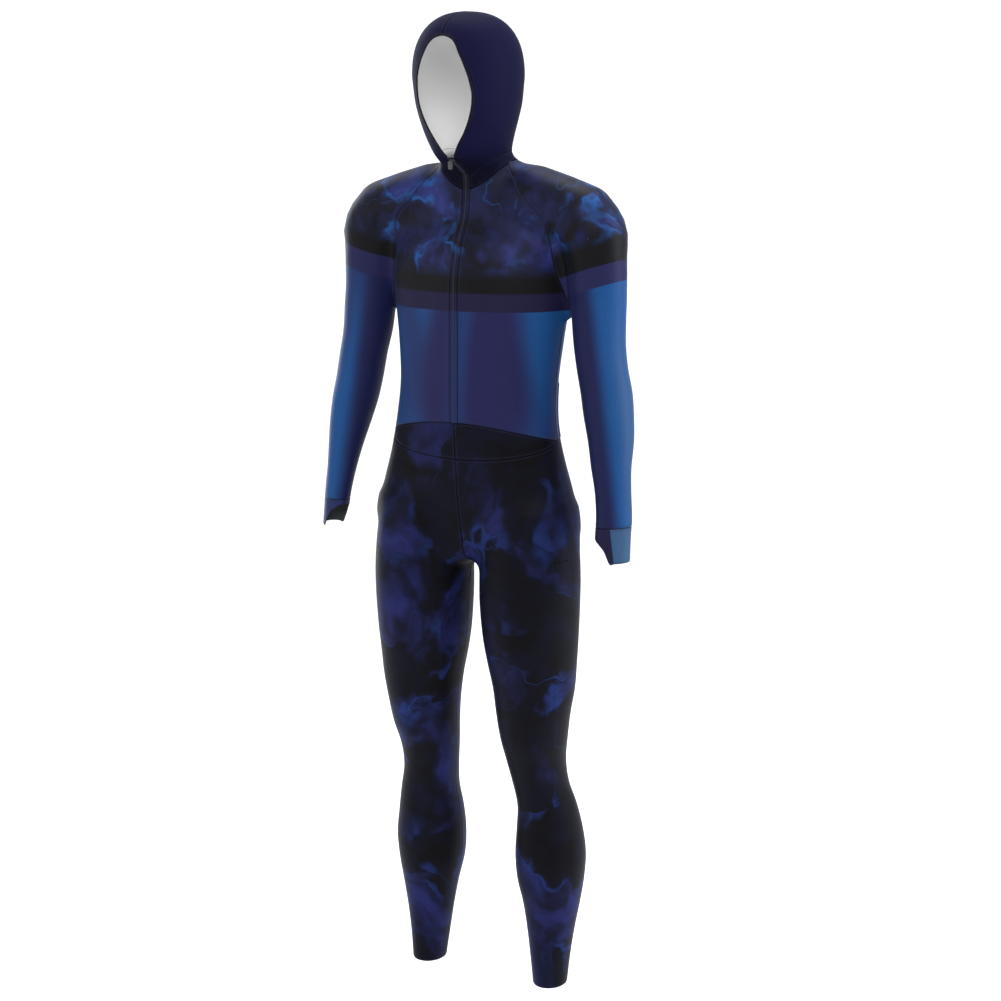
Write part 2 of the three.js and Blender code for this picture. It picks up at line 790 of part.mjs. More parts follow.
/** The hood's front edge on the left: up the zip under the chin, then round the face opening. */
function hoodFrontEdge() {
  const foot = openingPoint(ZIP_HALF_WIDTH, OPENING_FOOT);
  const core = vec(ZIP_HALF_WIDTH, -40, 1590);
  const chin = [];
  for (let i = 0; i < CHIN_ROWS; i += 1) {
    chin.push(i === 0 ? hoodSeam[0].clone() : onForm(core, mixVec(hoodSeam[0], foot, i / CHIN_ROWS)));
  }
  const round = [foot];
  for (const row of OPENING.slice().reverse()) round.push(openingPoint(row.half, row.z));
  round.push(openingPoint(0.01, OPENING_TOP));
  const edge = evenly(round, OPENING_ROWS).map((p) => onForm(headCore(p), p));
  edge[0] = foot;
  edge[OPENING_ROWS] = openingPoint(0, OPENING_TOP);
  return [...chin, ...edge];
}

function crownLine(from, to, count) {
  const core = vec(0, -48, HEAD_MIDDLE - 10);
  const start = Math.atan2(from.z - core.z, from.y - core.y);
  const end = Math.atan2(to.z - core.z, to.y - core.y);
  const points = [];
  for (let i = 0; i <= count; i += 1) {
    const angle = mix(start, end, i / count);
    points.push(onForm(core, core.clone().add(vec(0, Math.cos(angle), Math.sin(angle)))));
  }
  points[0] = from.clone();
  points[count] = to.clone();
  return points;
}

function hoodGrid(frontLine) {
  const foot = hoodSeam.map((p) => p.clone());
  const rows = frontLine.length - 1;
  const crown = onForm(vec(0, CROWN.y + 22, HEAD_MIDDLE), vec(0, CROWN.y + 22, CROWN.z + 50));
  const head = crownLine(frontLine[rows], crown, foot.length - 1);
  const nape = [];
  const start = foot[foot.length - 1];
  for (let i = 0; i <= rows; i += 1) {
    const t = i / rows;
    const z = mix(start.z, 1640, t);
    nape.push(onForm(vec(0, -20, z), vec(0, 100, z)));
  }
  nape[0] = start.clone();
  const upper = crownLine(nape[rows], crown, rows);
  const line = evenly([...nape.filter((p, i) => i % 2 === 0), ...upper.slice(1)], rows)
    .map((p) => onForm(headCore(p), p));
  line[0] = start.clone();
  line[rows] = crown.clone();
  line.forEach((p) => { p.x = 0; });
  return patch(foot, head, frontLine, line, headCore);
}

const hoodFront = hoodFrontEdge();
const hood = trimEdges(hoodGrid(hoodFront), { foot: true, head: true, left: true, right: true });
addPair('hood', wall(offMiddle(hood)), CLOTHS.hood);

// Binding round the face opening
function bindingGrid() {
  const edge = hoodFront.slice(CHIN_ROWS);
  const half = SEAM_GAP / 2;
  const middle = vec(0, 0, 1640);
  const both = [...edge, ...edge.slice(0, -1).reverse().map((p) => vec(-p.x, p.y, p.z))];
  const inward = (p, reach) => {
    const way = vec(middle.x - p.x, 0, middle.z - p.z).normalize();
    const guide = p.clone().addScaledVector(way, reach);
    return onForm(vec(guide.x, -46, guide.z), vec(guide.x, -146, guide.z));
  };
  const grid = [half, 4].map((reach) => both.map((p) => inward(p, reach)));
  return grid;
}
addPiece('face_binding', wall(bindingGrid(), { outer: 0.5, thick: 2.3, normals: sideways }), CLOTHS.edge);

// Zip: a strip with a raised chain, from the waist seam to the foot of the face opening
function zipLine() {
  const points = [];
  const rows = SIDE_ROWS + RAGLAN_ROWS;
  for (let i = 0; i <= rows; i += 1) points.push(frontPoint(0, mix(waist[0].z, neckline[0].z, i / rows)));
  points.push(onForm(vec(0, HOOD_SEAM.coreY, HOOD_SEAM.coreHeight),
    vec(0, HOOD_SEAM.coreY - HOOD_SEAM.ahead, HOOD_SEAM.coreHeight + 15)));
  const foot = openingPoint(0, OPENING_FOOT);
  const core = vec(0, -40, 1590);
  for (let i = 1; i <= CHIN_ROWS; i += 1) {
    points.push(onForm(core, mixVec(hoodSeam[0].clone().setX(0), foot, i / CHIN_ROWS)));
  }
  points[0].z += SEAM_GAP / 2;
  const last = points.length - 1;
  points[last].addScaledVector(points[last - 1].clone().sub(points[last]).normalize(), SEAM_GAP);
  return points;
}

const ZIP_PROFILE = table(['across', 'out'], [
  [-6.7, -1.3],
  [6.7, -1.3],
  [6.7, 0],
  [2, 0],
  [2, 0.9],
  [-2, 0.9],
  [-2, 0],
  [-6.7, 0],
]);

function zipGeometry(line) {
  const count = ZIP_PROFILE.length;
  const points = [];
  const faces = [];
  line.forEach((p) => {
    const n = formNormal(p);
    n.x = 0;
    n.normalize();
    for (const corner of ZIP_PROFILE) {
      points.push(p.clone().addScaledVector(n, corner.out).add(vec(corner.across, 0, 0)));
    }
  });
  for (let r = 0; r + 1 < line.length; r += 1) {
    for (let c = 0; c < count; c += 1) {
      const a = r * count + c;
      const b = r * count + (c + 1) % count;
      faces.push([a, b, b + count], [a, b + count, a + count]);
    }
  }
  const cap = THREE.ShapeUtils.triangulateShape(ZIP_PROFILE.map((q) => new THREE.Vector2(q.across, q.out)), []);
  const top = (line.length - 1) * count;
  for (const [a, b, c] of cap) faces.push([a, c, b], [a + top, b + top, c + top]);
  return solid(points, faces);
}

const zipPath = zipLine();
addPiece('zip', zipGeometry(zipPath), CLOTHS.zip);

// Slider and its pull tab, at the top of the zip
const SLIDER = { width: 9, length: 9, thick: 3.2, lift: 1.2 };
const PULL = { width: 8, length: 13, thick: 1.6 };
const sliderFoot = zipPath[zipPath.length - 1];
const sliderOut = formNormal(sliderFoot).setX(0).normalize();
const sliderUp = zipPath[zipPath.length - 1].clone().sub(zipPath[zipPath.length - 2]).setX(0).normalize();

/** A plate with rounded corners, its profile in the plane of right and up, thickness along its normal. */
function plate(width, length, thick) {
  const radius = width * 0.3;
  const shape = new THREE.Shape();
  shape.moveTo(-width / 2 + radius, -length / 2);
  shape.absarc(width / 2 - radius, -length / 2 + radius, radius, -Math.PI / 2, 0, false);
  shape.absarc(width / 2 - radius, length / 2 - radius, radius, 0, Math.PI / 2, false);
  shape.absarc(-width / 2 + radius, length / 2 - radius, radius, Math.PI / 2, Math.PI, false);
  shape.absarc(-width / 2 + radius, -length / 2 + radius, radius, Math.PI, Math.PI * 1.5, false);
  return new THREE.ExtrudeGeometry(shape, { depth: thick, bevelEnabled: false, curveSegments: 4 });
}

const slider = plate(SLIDER.width, SLIDER.length, SLIDER.thick);
const sliderRight = sliderUp.clone().cross(sliderOut).normalize();
const sliderBase = sliderFoot.clone().addScaledVector(sliderUp, -SLIDER.length / 2 - 0.5)
  .addScaledVector(sliderOut, SLIDER.lift);
slider.applyMatrix4(new THREE.Matrix4().makeBasis(sliderRight, sliderUp, sliderOut).setPosition(sliderBase));
addPiece('zip_slider', slider, CLOTHS.metal);

const sliderNose = sliderFoot.clone().addScaledVector(sliderOut, SLIDER.lift + SLIDER.thick);
const pullTop = sliderNose.clone().addScaledVector(sliderOut, SEAM_GAP + PULL.thick / 2);
const pull = plate(PULL.width, PULL.length, PULL.thick);
const pullUp = vec(0, 0, 1);
const pullOut = vec(0, -1, 0);
pull.applyMatrix4(new THREE.Matrix4().makeBasis(pullUp.clone().cross(pullOut), pullUp, pullOut)
  .setPosition(pullTop.clone().add(vec(0, PULL.thick / 2, -PULL.length / 2))));
addPiece('zip_pull', pull, CLOTHS.metal);

export default suit;
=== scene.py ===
# %% [markdown]
# A hooded speed skating suit, filled out as if worn, with nobody in it.
# The suit is knitted stretch cloth: two zipped fronts, a back with a pocket, raglan sleeves,
# thumb-cut cuffs, a yoke and two legs, a collar and a hood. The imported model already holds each
# piece as a stiff wall, so this script dresses the same pieces as fine smooth cloth.

# %% Load the frame
from math import atan2, cos, floor, pi, radians, sin, sqrt

import bmesh
import bpy
import numpy as np
from mathutils import Matrix, Vector


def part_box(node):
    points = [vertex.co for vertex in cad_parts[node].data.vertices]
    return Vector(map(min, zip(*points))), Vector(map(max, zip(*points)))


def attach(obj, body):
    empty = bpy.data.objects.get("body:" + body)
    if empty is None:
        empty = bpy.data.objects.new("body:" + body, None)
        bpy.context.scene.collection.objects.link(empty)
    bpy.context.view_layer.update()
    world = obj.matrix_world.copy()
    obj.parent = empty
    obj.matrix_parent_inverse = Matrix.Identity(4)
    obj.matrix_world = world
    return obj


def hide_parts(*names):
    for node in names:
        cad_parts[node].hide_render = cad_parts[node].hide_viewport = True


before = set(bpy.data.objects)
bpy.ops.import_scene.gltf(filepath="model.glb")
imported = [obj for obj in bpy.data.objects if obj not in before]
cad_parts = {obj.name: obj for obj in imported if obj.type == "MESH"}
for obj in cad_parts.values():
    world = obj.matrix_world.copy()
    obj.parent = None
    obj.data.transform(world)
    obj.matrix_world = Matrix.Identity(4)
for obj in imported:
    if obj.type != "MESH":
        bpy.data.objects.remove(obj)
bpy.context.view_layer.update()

# %% [markdown]
# The camera stands as the photograph's did: to the wearer's left of the front, above the shoulders
# and looking a little down, with a long lens. Heights in this script are millimetres above the
# floor, as a tailor would chalk them, and the frame's origin lies on the shoulder line.

# %% Camera
MM = 0.001
ORIGIN_HEIGHT = 1450.0
PHOTO_SIZE = 1001
CAMERA_TURN = radians(27.0)
CAMERA_TILT = radians(11.9)
CAMERA_DISTANCE = 3300.0
CAMERA_HEIGHT = 1650.0
FOCAL_PIXELS = 1946.0
MIDDLE_COLUMN = 481.0
SENSOR = 36.0


def add_object(name, data):
    made = bpy.data.objects.new(name, data)
    bpy.context.collection.objects.link(made)
    return made


def make_camera():
    right = Vector((cos(CAMERA_TURN), sin(CAMERA_TURN), 0))
    level = Vector((sin(CAMERA_TURN), -cos(CAMERA_TURN), 0))
    back = level * cos(CAMERA_TILT) + Vector((0, 0, sin(CAMERA_TILT)))
    up = back.cross(right)
    aside = (PHOTO_SIZE / 2 - MIDDLE_COLUMN) / FOCAL_PIXELS * CAMERA_DISTANCE
    place = level * CAMERA_DISTANCE + right * aside
    place.z = CAMERA_HEIGHT - ORIGIN_HEIGHT
    data = bpy.data.cameras.new("camera")
    data.sensor_width = SENSOR
    data.lens = FOCAL_PIXELS / PHOTO_SIZE * SENSOR
    camera = add_object("camera", data)
    turn = Matrix((right, up, back)).transposed().to_4x4()
    camera.matrix_world = Matrix.Translation(place * MM) @ turn
    bpy.context.scene.camera = camera
    print("camera lens", round(data.lens, 1))


make_camera()

# %% [markdown]
# Every panel lies on one smooth form, so neighbours meet without a step. The form is a general
# figure made of oval sections in short tables. Between two rows a smooth curve is used. Writing the
# shape as sections keeps it easy to change: one row is one girth of the suit.

# %% Sections of the form


def table(columns, rows):
    return {name: np.array([row[i] for row in rows], float) for i, name in enumerate(columns)}


TORSO = table(["z", "half", "front", "back", "mid"], [
    [1505, 62, -42, 56, 6], [1467, 108, -49, 74, 8], [1437, 134, -62, 86, 8],
    [1407, 150, -80, 96, 6], [1381, 157, -90, 100, 5], [1350, 160, -97, 101, 5],
    [1300, 158, -99, 99, 4], [1240, 151, -99, 83, 1], [1165, 145, -100, 70, -7],
    [1100, 149, -99, 71, -18], [1040, 161, -94, 85, -20], [980, 178, -88, 96, -21],
    [930, 188, -79, 98, -26], [900, 176, -72, 96, -22],
])
HEAD = table(["z", "half", "front", "back", "mid"], [
    [1672, 88, -149, 66, -42], [1631, 84, -143, 60, -40], [1605, 78, -135, 55, -40],
    [1579, 70, -125, 51, -38], [1560, 63, -118, 50, -31], [1545, 58, -108, 52, -22],
    [1530, 57, -82, 56, -6], [1515, 60, -54, 59, 4], [1495, 66, -46, 65, 8], [1460, 70, -44, 66, 8],
])
LEG = table(["z", "x", "y", "half", "depth"], [
    [960, 98, -16, 80, 72], [900, 101, -17, 86, 80], [840, 103, -18, 87, 87],
    [790, 103, -18, 86, 89], [726, 104, -16, 82, 86], [682, 106, -14, 77, 81],
    [637, 109, -13, 71, 74], [592, 108, -13, 64.5, 68], [547, 107, -8, 58.5, 64],
    [502, 106, 3, 52, 57], [456, 110, 14, 49, 54], [411, 118, 24, 52, 57], [364, 120, 31, 58.5, 63],
    [318, 121, 33, 62.5, 67], [272, 121, 34, 59.5, 64], [225, 123, 34, 50.5, 55],
    [178, 123, 32, 42.5, 47], [130, 123, 30, 36, 41], [74, 124, 27, 30, 35],
])
ARM = table(["z", "x", "y", "long", "short"], [
    [1430, 204, 5, 54, 54], [1380, 212, 5, 50, 50], [1320, 217, 5, 46, 46], [1281, 219, 1, 45, 45],
    [1241, 222, -2, 43.5, 43.5], [1201, 229, -6, 43, 42], [1161, 237, -6, 43.5, 41.5],
    [1121, 244, -11, 42, 41], [1081, 251, -17, 38.5, 37], [1040, 256, -26, 34, 31],
    [999, 262, -31, 31, 26], [958, 267, -37, 31, 23], [925, 268, -43, 31, 21.5],
    [860, 271, -51, 30, 20],
])
SHOULDER = table(["x", "y", "z", "radius"], [
    [50, 14, 1474, 60], [95, 12, 1469, 60], [140, 9, 1458, 58], [185, 6, 1444, 57],
    [206, 5, 1422, 56],
])
RAGLAN = table(["x", "z", "front", "back"], [
    [176, 1340, -70, 66], [177, 1385, -80, 80], [166, 1428, -80, 90], [138, 1462, -70, 86],
    [104, 1490, -62, 74],
])
OPENING = table(["z", "half"], [
    [1736, 17], [1711, 34], [1678, 48], [1646, 53.5], [1616, 49], [1584, 35], [1560, 19],
])


def hermite(a, b, slope_a, slope_b, t):
    """The smooth curve from a to b with the given slopes, read at share t of the way."""
    return ((2 * t**3 - 3 * t**2 + 1) * a + (t**3 - 2 * t**2 + t) * slope_a
            + (3 * t**2 - 2 * t**3) * b + (t**3 - t**2) * slope_b)


def dense(rows):
    """The table's curves, read off at each millimetre of height, lowest first."""
    z = rows["z"]
    last = len(z) - 1
    heights = np.arange(z[last], z[0] + 0.5, 1.0)
    row = np.clip(last - np.searchsorted(z[::-1], heights, side="left"), 0, last - 1)
    span = z[row] - z[row + 1]
    t = (z[row] - heights) / span
    before = np.maximum(row - 1, 0)
    after = np.minimum(row + 2, last)
    curves = {}
    for name, v in rows.items():
        slope_a = (v[row + 1] - v[before]) / (z[before] - z[row + 1]) * span
        slope_b = (v[after] - v[row]) / (z[row] - z[after]) * span
        curves[name] = hermite(v[row], v[row + 1], slope_a, slope_b, t)
    return {**curves, "z": heights}


CURVES = {name: dense(rows) for name, rows in
          (("torso", TORSO), ("head", HEAD), ("leg", LEG), ("arm", ARM))}


def section(name, z):
    curves = CURVES[name]
    return {key: np.interp(z, curves["z"], curves[key]) for key in curves if key != "z"}


print("sections", {name: len(curves["z"]) for name, curves in CURVES.items()})

# %% [markdown]
# The form itself is one function that is below zero inside the suit. Trunk, head, arms and legs
# each have their own, and where two meet they are blended, which gives the soft hollow under the
# arm and the slope from neck to shoulder without any drawing by hand.

# %% The form
CROTCH_HEIGHT = 856.0
CROWN_HEIGHT = 1776.0
HEAD_MIDDLE = 1672.0
DOME = 2.4
MIRROR = np.array([-1, 1, 1])


def oval_gap(x, y, front, back, half):
    depth = np.where(y < 0, front, back)
    norm = np.maximum(np.hypot(x / half, y / depth), 1e-6)
    return np.hypot(x, y) * (1 - 1 / norm)


def dome_gap(x, y, z, front, back, half, height):
    flat = np.hypot(x / half, y / np.where(y < 0, front, back))
    norm = np.maximum((flat**DOME + np.abs(z / height)**DOME)**(1 / DOME), 1e-6)
    return np.sqrt(x * x + y * y + z * z) * (1 - 1 / norm)


def in_section(name, p):
    """A place as seen from the section's middle, and the section's reach to front, back and side."""
    s = section(name, p[..., 2])
    x, y, z = p[..., 0], p[..., 1] - s["mid"], p[..., 2]
    return x, y, z, (s["mid"] - s["front"], s["back"] - s["mid"], s["half"])


def torso_gap(p):
    x, y, z, reach = in_section("torso", p)
    foot = TORSO["z"][-1]
    upper = np.maximum(oval_gap(x, y, *reach), z - TORSO["z"][0])
    return np.where(z < foot, dome_gap(x, y, z - foot, *reach, foot - CROTCH_HEIGHT), upper)


def head_gap(p):
    x, y, z, reach = in_section("head", p)
    upper = dome_gap(x, y, z - HEAD_MIDDLE, *reach, CROWN_HEIGHT - HEAD_MIDDLE)
    return np.where(z > HEAD_MIDDLE, upper, oval_gap(x, y, *reach))


def leg_gap(p):
    s = section("leg", p[..., 2])
    over = np.maximum(0, p[..., 2] - LEG["z"][0])
    x, y = np.abs(p[..., 0]) - s["x"], p[..., 1] - s["y"]
    return oval_gap(x, y, s["depth"], s["depth"], s["half"]) + over


def arm_gap(p):
    s = section("arm", p[..., 2])
    dx, dy = np.abs(p[..., 0]) - s["x"], p[..., 1] - s["y"]
    over = np.maximum(0, p[..., 2] - ARM["z"][0])
    half = sqrt(0.5)
    return oval_gap((dx + dy) * half, (dy - dx) * half, s["short"], s["short"], s["long"]) + over


def shoulder_gap(p):
    at = np.stack([np.abs(p[..., 0]), p[..., 1], p[..., 2]], -1)
    best = np.full(at.shape[:-1], np.inf)
    spine = np.stack([SHOULDER["x"], SHOULDER["y"], SHOULDER["z"]], -1)
    for i in range(len(spine) - 1):
        along = spine[i + 1] - spine[i]
        t = np.clip((at - spine[i]) @ along / (along @ along), 0, 1)
        reach = SHOULDER["radius"][i] + (SHOULDER["radius"][i + 1] - SHOULDER["radius"][i]) * t
        best = np.minimum(best, np.linalg.norm(at - spine[i] - t[..., None] * along, axis=-1) - reach)
    return best


def blend(a, b, width):
    h = np.maximum(width - np.abs(a - b), 0) / width
    return np.minimum(a, b) - h * h * width / 4


def form_gap(p):
    torso, arm = torso_gap(p), arm_gap(p)
    z = p[..., 2]
    low = blend(torso, leg_gap(p), 24.0)
    low = np.where((np.abs(p[..., 0]) > 190) | (z < 960), np.minimum(low, arm), low)
    high = blend(torso, blend(arm, shoulder_gap(p), 12.0), 30.0)
    high = np.where(z > 1180, high, np.minimum(torso, arm))
    neck = blend(high, head_gap(p), np.clip(26.0 * (z - 1400) / 50, 1.0, 26.0))
    high = np.where(z > 1400, neck, high)
    return np.where(z < 1010, low, high)


def steps_of(points, axis=0):
    """The distances between neighbouring points of a line or a grid."""
    return np.linalg.norm(np.diff(points, axis=axis), axis=-1)


def unit(v):
    return v / np.maximum(np.linalg.norm(v, axis=-1, keepdims=True), 1e-9)


def form_normal(p):
    steps = 1.5 * np.eye(3)
    return unit(np.stack([form_gap(p + step) - form_gap(p - step) for step in steps], -1))


def on_form(core, guide):
    """Where the rays from core through guide leave the form; both are arrays of points."""
    core, guide = np.broadcast_arrays(np.asarray(core, float), np.asarray(guide, float))
    way = unit(guide - core)
    low = np.zeros(core.shape[:-1])
    inside = np.ones(core.shape[:-1], bool)
    for reach in np.arange(4.0, 424.0, 4.0):
        inside &= form_gap(core + way * reach) <= 0
        low = np.where(inside, reach, low)
        if not inside.any():
            break
    high = low + 4.0
    for _ in range(14):
        middle = (low + high) / 2
        out = form_gap(core + way * middle[..., None]) > 0
        high = np.where(out, middle, high)
        low = np.where(out, low, middle)
    return core + way * low[..., None]


def settle(p):
    """Moves points that are nearly on the form the short way onto it."""
    for _ in range(3):
        p = p - form_normal(p) * np.clip(form_gap(p), -6, 6)[..., None]
    return p


def vec(*values):
    return np.stack(np.broadcast_arrays(*[np.asarray(v, float) for v in values]), -1)


def mix(a, b, t):
    return a + (b - a) * t


def ease(t):
    return t * t * (3 - 2 * t)


def evenly(points, count):
    """Evenly spaced points along a smooth curve through the given points."""
    fine = spline(np.asarray(points), np.linspace(0, len(points) - 1, 400))
    run = np.concatenate([[0], np.cumsum(steps_of(fine))])
    at = np.linspace(0, run[-1], count + 1)
    return np.stack([np.interp(at, run, fine[:, k]) for k in range(3)], -1)


def spline(values, places, closed=False):
    """A smooth curve through rows of values, read at fractional row places."""
    last = len(values) - 1
    row = np.clip(np.floor(places).astype(int), 0, last - 1)
    t = (places - row).reshape(-1, *([1] * (values.ndim - 1)))
    a, b = values[row], values[row + 1]
    first, final = row == 0, row == last - 1
    before = values[np.where(first, last - 1, row - 1)]
    after = values[np.where(final, 1, row + 2)]
    if not closed:
        before = np.where(first.reshape(t.shape), 2 * a - b, before)
        after = np.where(final.reshape(t.shape), 2 * b - a, after)
    return hermite(a, b, (b - before) / 2, (after - a) / 2, t)


print("form at the belly", round(float(form_gap(vec(0, -100, 1165))), 2), "mm")

# %% [markdown]
# Seam lines come next, as a pattern cutter would mark them on the form: the waist, the neck, the
# raglan seams from the armpit to the neck and the side seams. Each line is made once and both of
# its neighbours use it, which is what makes the panels meet.

# %% Seam lines of the left half
ZIP_HALF_WIDTH = 7.0
WAIST_FRONT, WAIST_SIDE = 1106.0, 1077.0
YOKE_DEPTH = 63.0
FRONT_COLUMNS, BACK_COLUMNS = 9, 8
SIDE_ROWS, RAGLAN_ROWS = 7, 7
NECK_FRONT, NECK_TOP, NECK_BACK = 4, 4, 4
NECKLINE = {"height": 1470, "y": 6, "across": 60, "ahead": 56, "behind": 58}
HOOD_SEAM = {"height": 1496, "y": 4, "across": 56, "ahead": 52, "behind": 54}


def torso_core(z):
    z = np.asarray(z, float)
    return vec(0, section("torso", np.clip(z, 900, 1400))["mid"], np.clip(z, 905, 1400))


def level_core(z):
    core = torso_core(z)
    core[..., 2] = z
    return core


def front_point(x, z):
    mid = section("torso", z)["mid"]
    return on_form(vec(x, mid, z), vec(x, mid - 100, z))


def waist_seam():
    front = np.linspace(0, 0.5, FRONT_COLUMNS + 1)
    back = np.linspace(0.5, 1, BACK_COLUMNS + 1)[1:]
    turn = pi * mix(0.016, 1, np.concatenate([front, back]))
    z = mix(WAIST_SIDE, WAIST_FRONT, np.maximum(0, np.cos(turn))**1.4)
    core = level_core(z)
    points = on_form(core, vec(150 * np.sin(turn), core[..., 1] - 95 * np.cos(turn), z))
    points[0] = front_point(ZIP_HALF_WIDTH, z[0])
    points[-1, 0] = 0
    return points


def neck_ring(ring, rise, turn_end, foot):
    count = NECK_FRONT + NECK_TOP + NECK_BACK
    turn = pi * mix(0.04, 1, np.linspace(0, 1, count + 1))

    def height(angle):
        return ring["height"] + mix(foot, rise, ease(np.clip(angle / turn_end, 0, 1)))

    depth = np.where(np.cos(turn) > 0, ring["ahead"], ring["behind"])
    core = vec(0, ring["y"], ring["height"])
    guide = vec(ring["across"] * np.sin(turn), ring["y"] - depth * np.cos(turn), height(turn))
    points = on_form(core, guide)
    start = vec(ZIP_HALF_WIDTH, ring["y"], ring["height"])
    points[0] = on_form(start, vec(ZIP_HALF_WIDTH, ring["y"] - ring["ahead"], height(0)))
    points[-1] = on_form(core, vec(0, ring["y"] + ring["behind"], height(pi)))
    return points


waist = waist_seam()
neckline = neck_ring(NECKLINE, 64, 1.6, 19)
hood_seam = neck_ring(HOOD_SEAM, 58, 1.7, 15)
armpit = on_form(vec(170, 2, 1345), vec(170, 2, 1200))


def raglan_seam(face):
    core = vec(120, 4, 1420)
    end = neckline[NECK_FRONT if face == "front" else NECK_FRONT + NECK_TOP]
    guides = on_form(core, vec(RAGLAN["x"], RAGLAN[face], RAGLAN["z"]))
    points = on_form(core, evenly([armpit, *guides, end], RAGLAN_ROWS))
    points[0], points[-1] = armpit, end
    return points


raglan_front, raglan_back = raglan_seam("front"), raglan_seam("back")
side_guide = mix(waist[FRONT_COLUMNS], armpit, np.linspace(0, 1, SIDE_ROWS + 1)[:, None])
side_line = on_form(level_core(side_guide[:, 2]), side_guide)
side_line[0], side_line[-1] = waist[FRONT_COLUMNS], armpit
print("waist seam", len(waist), "neckline", len(neckline), "raglan", len(raglan_front))

# %% [markdown]
# A panel is a grid of points between four seam lines. The lines are first joined by straight
# blending, and then each inner point is pushed out onto the form. The coarse grid is afterwards
# read at many more places, with two lines close to each cut edge, so the edge can dip into a seam.

# %% Panel grids


def patch(foot, head, left, right, core_of):
    foot, head, left, right = (np.asarray(line) for line in (foot, head, left, right))
    v = np.linspace(0, 1, len(left))[:, None, None]
    u = np.linspace(0, 1, len(foot))[None, :, None]
    grid = (mix(foot[None], head[None], v) + mix(left[:, None], right[:, None], u)
            - mix(foot[0], foot[-1], u) * (1 - v) - mix(head[0], head[-1], u) * v)
    inner = grid[1:-1, 1:-1]
    grid[1:-1, 1:-1] = on_form(core_of(inner, v[1:-1, :, 0]), inner)
    grid[0], grid[-1], grid[:, 0], grid[:, -1] = foot, head, left, right
    return grid


def stretch_to(points, count):
    spans = len(points) - 1
    marks = [int(floor(s * count / spans + 0.5)) for s in range(spans + 1)]
    return np.stack([np.interp(np.arange(count + 1), marks, points[:, k]) for k in range(3)], -1)


def both_halves(half):
    return np.concatenate([half, half[:, -2::-1] * MIRROR], axis=1)


def torso_core_of(p, v):
    return torso_core(p[..., 2])


rows_up = np.linspace(0, 1, SIDE_ROWS + RAGLAN_ROWS + 1)
front_line = front_point(ZIP_HALF_WIDTH, mix(waist[0, 2], neckline[0, 2], rows_up))
front_line[0], front_line[-1] = waist[0], neckline[0]
front_grid = patch(waist[:FRONT_COLUMNS + 1], stretch_to(neckline[:NECK_FRONT + 1], FRONT_COLUMNS),
                   front_line, np.concatenate([side_line, raglan_front[1:]]), torso_core_of)

back_z = mix(waist[-1, 2], neckline[-1, 2], rows_up)
back_middle = on_form(vec(0, 0, np.minimum(back_z, 1480)), vec(0, 100, back_z))
back_middle[0], back_middle[-1] = waist[-1], neckline[-1]
back_half = patch(waist[FRONT_COLUMNS:], stretch_to(neckline[NECK_FRONT + NECK_TOP:], BACK_COLUMNS),
                  np.concatenate([side_line, raglan_back[1:]]), back_middle, torso_core_of)
back_grid = both_halves(back_half)
print("front", front_grid.shape[:2], "back", back_grid.shape[:2])

# %% [markdown]
# A sleeve is a tube. Its first ring is the whole raglan seam, and the next rings turn little by
# little into the round of the arm. The cuff is a short tube whose lower edge is cut back on the
# inner side, to leave the thumb free.

# %% Sleeve and cuff grids
WRIST_HEIGHT = 944.0
THUMB_CUT = 40.0
SHOULDER_ROWS = 7
SLEEVE_ROWS = [1290, 1262, 1232, 1200, 1168, 1135, 1100, 1062, 1022, 984, WRIST_HEIGHT]
SLEEVE_TILT = 30.0
RAGLAN_PUSH = 7.0
over_shoulder = neckline[NECK_FRONT + 1:NECK_FRONT + NECK_TOP]
loop = np.concatenate([raglan_front, over_shoulder, raglan_back[::-1]])
AROUND_ARM = len(loop) - 1
arm_turn = pi + 2 * pi * np.linspace(0, 1, AROUND_ARM + 1)


def arm_ring(z):
    s = section("arm", z)
    core = vec(s["x"], s["y"], z)
    return on_form(core, core + vec(np.cos(arm_turn), np.sin(arm_turn), 0 * arm_turn))


def shoulder_core(p):
    return vec(np.clip(p[..., 0] + 22, 100, 198), 5, np.clip(p[..., 2] + 22, 1330, 1452))


def make_sleeve():
    first = arm_ring(SLEEVE_ROWS[0] + SLEEVE_TILT * np.cos(arm_turn))
    rings = [loop]
    along = np.concatenate([loop[1:], loop[1:2]]) - np.concatenate([loop[-2:-1], loop[:-1]])
    away = np.cross(along, form_normal(loop))
    place = np.arange(AROUND_ARM + 1)
    share = np.minimum(1, np.minimum(place, AROUND_ARM - place) / 3)
    away = unit(away) * share[:, None]
    for r in range(1, SHOULDER_ROWS):
        t = r / SHOULDER_ROWS
        core = mix(shoulder_core(loop), vec(216, 4, SLEEVE_ROWS[0]), ease(t))
        rings.append(on_form(core, mix(loop, first, t) + away * RAGLAN_PUSH * (1 - t)))
    rings.append(first)
    steps = len(SLEEVE_ROWS) - 1
    for i, z in enumerate(SLEEVE_ROWS[1:], 1):
        rings.append(arm_ring(z + SLEEVE_TILT * (1 - i / steps) * np.cos(arm_turn)))
    return np.stack(rings)


def make_cuff(thumb_turn, length):
    turn = arm_turn - thumb_turn
    off = np.abs(np.arctan2(np.sin(turn), np.cos(turn)))
    cut = THUMB_CUT * np.sqrt(1 - np.clip(off / 1.5, 0, 1)**2)
    rows = 4
    return np.stack([arm_ring(WRIST_HEIGHT - (length - cut) * r / rows) for r in range(rows + 1)])


sleeve_grid = make_sleeve()
cuff_grids = make_cuff(pi + 0.1, 58), make_cuff(pi + 0.35, 48)
print("sleeve", sleeve_grid.shape[:2], "cuff", cuff_grids[0].shape[:2])

# %% [markdown]
# Below the waist seam lies a shallow yoke, like a lens on the belly. Each leg is one piece: a
# sheet from the front seam round the hip to the back seam above the crotch, and a closed tube
# below it.

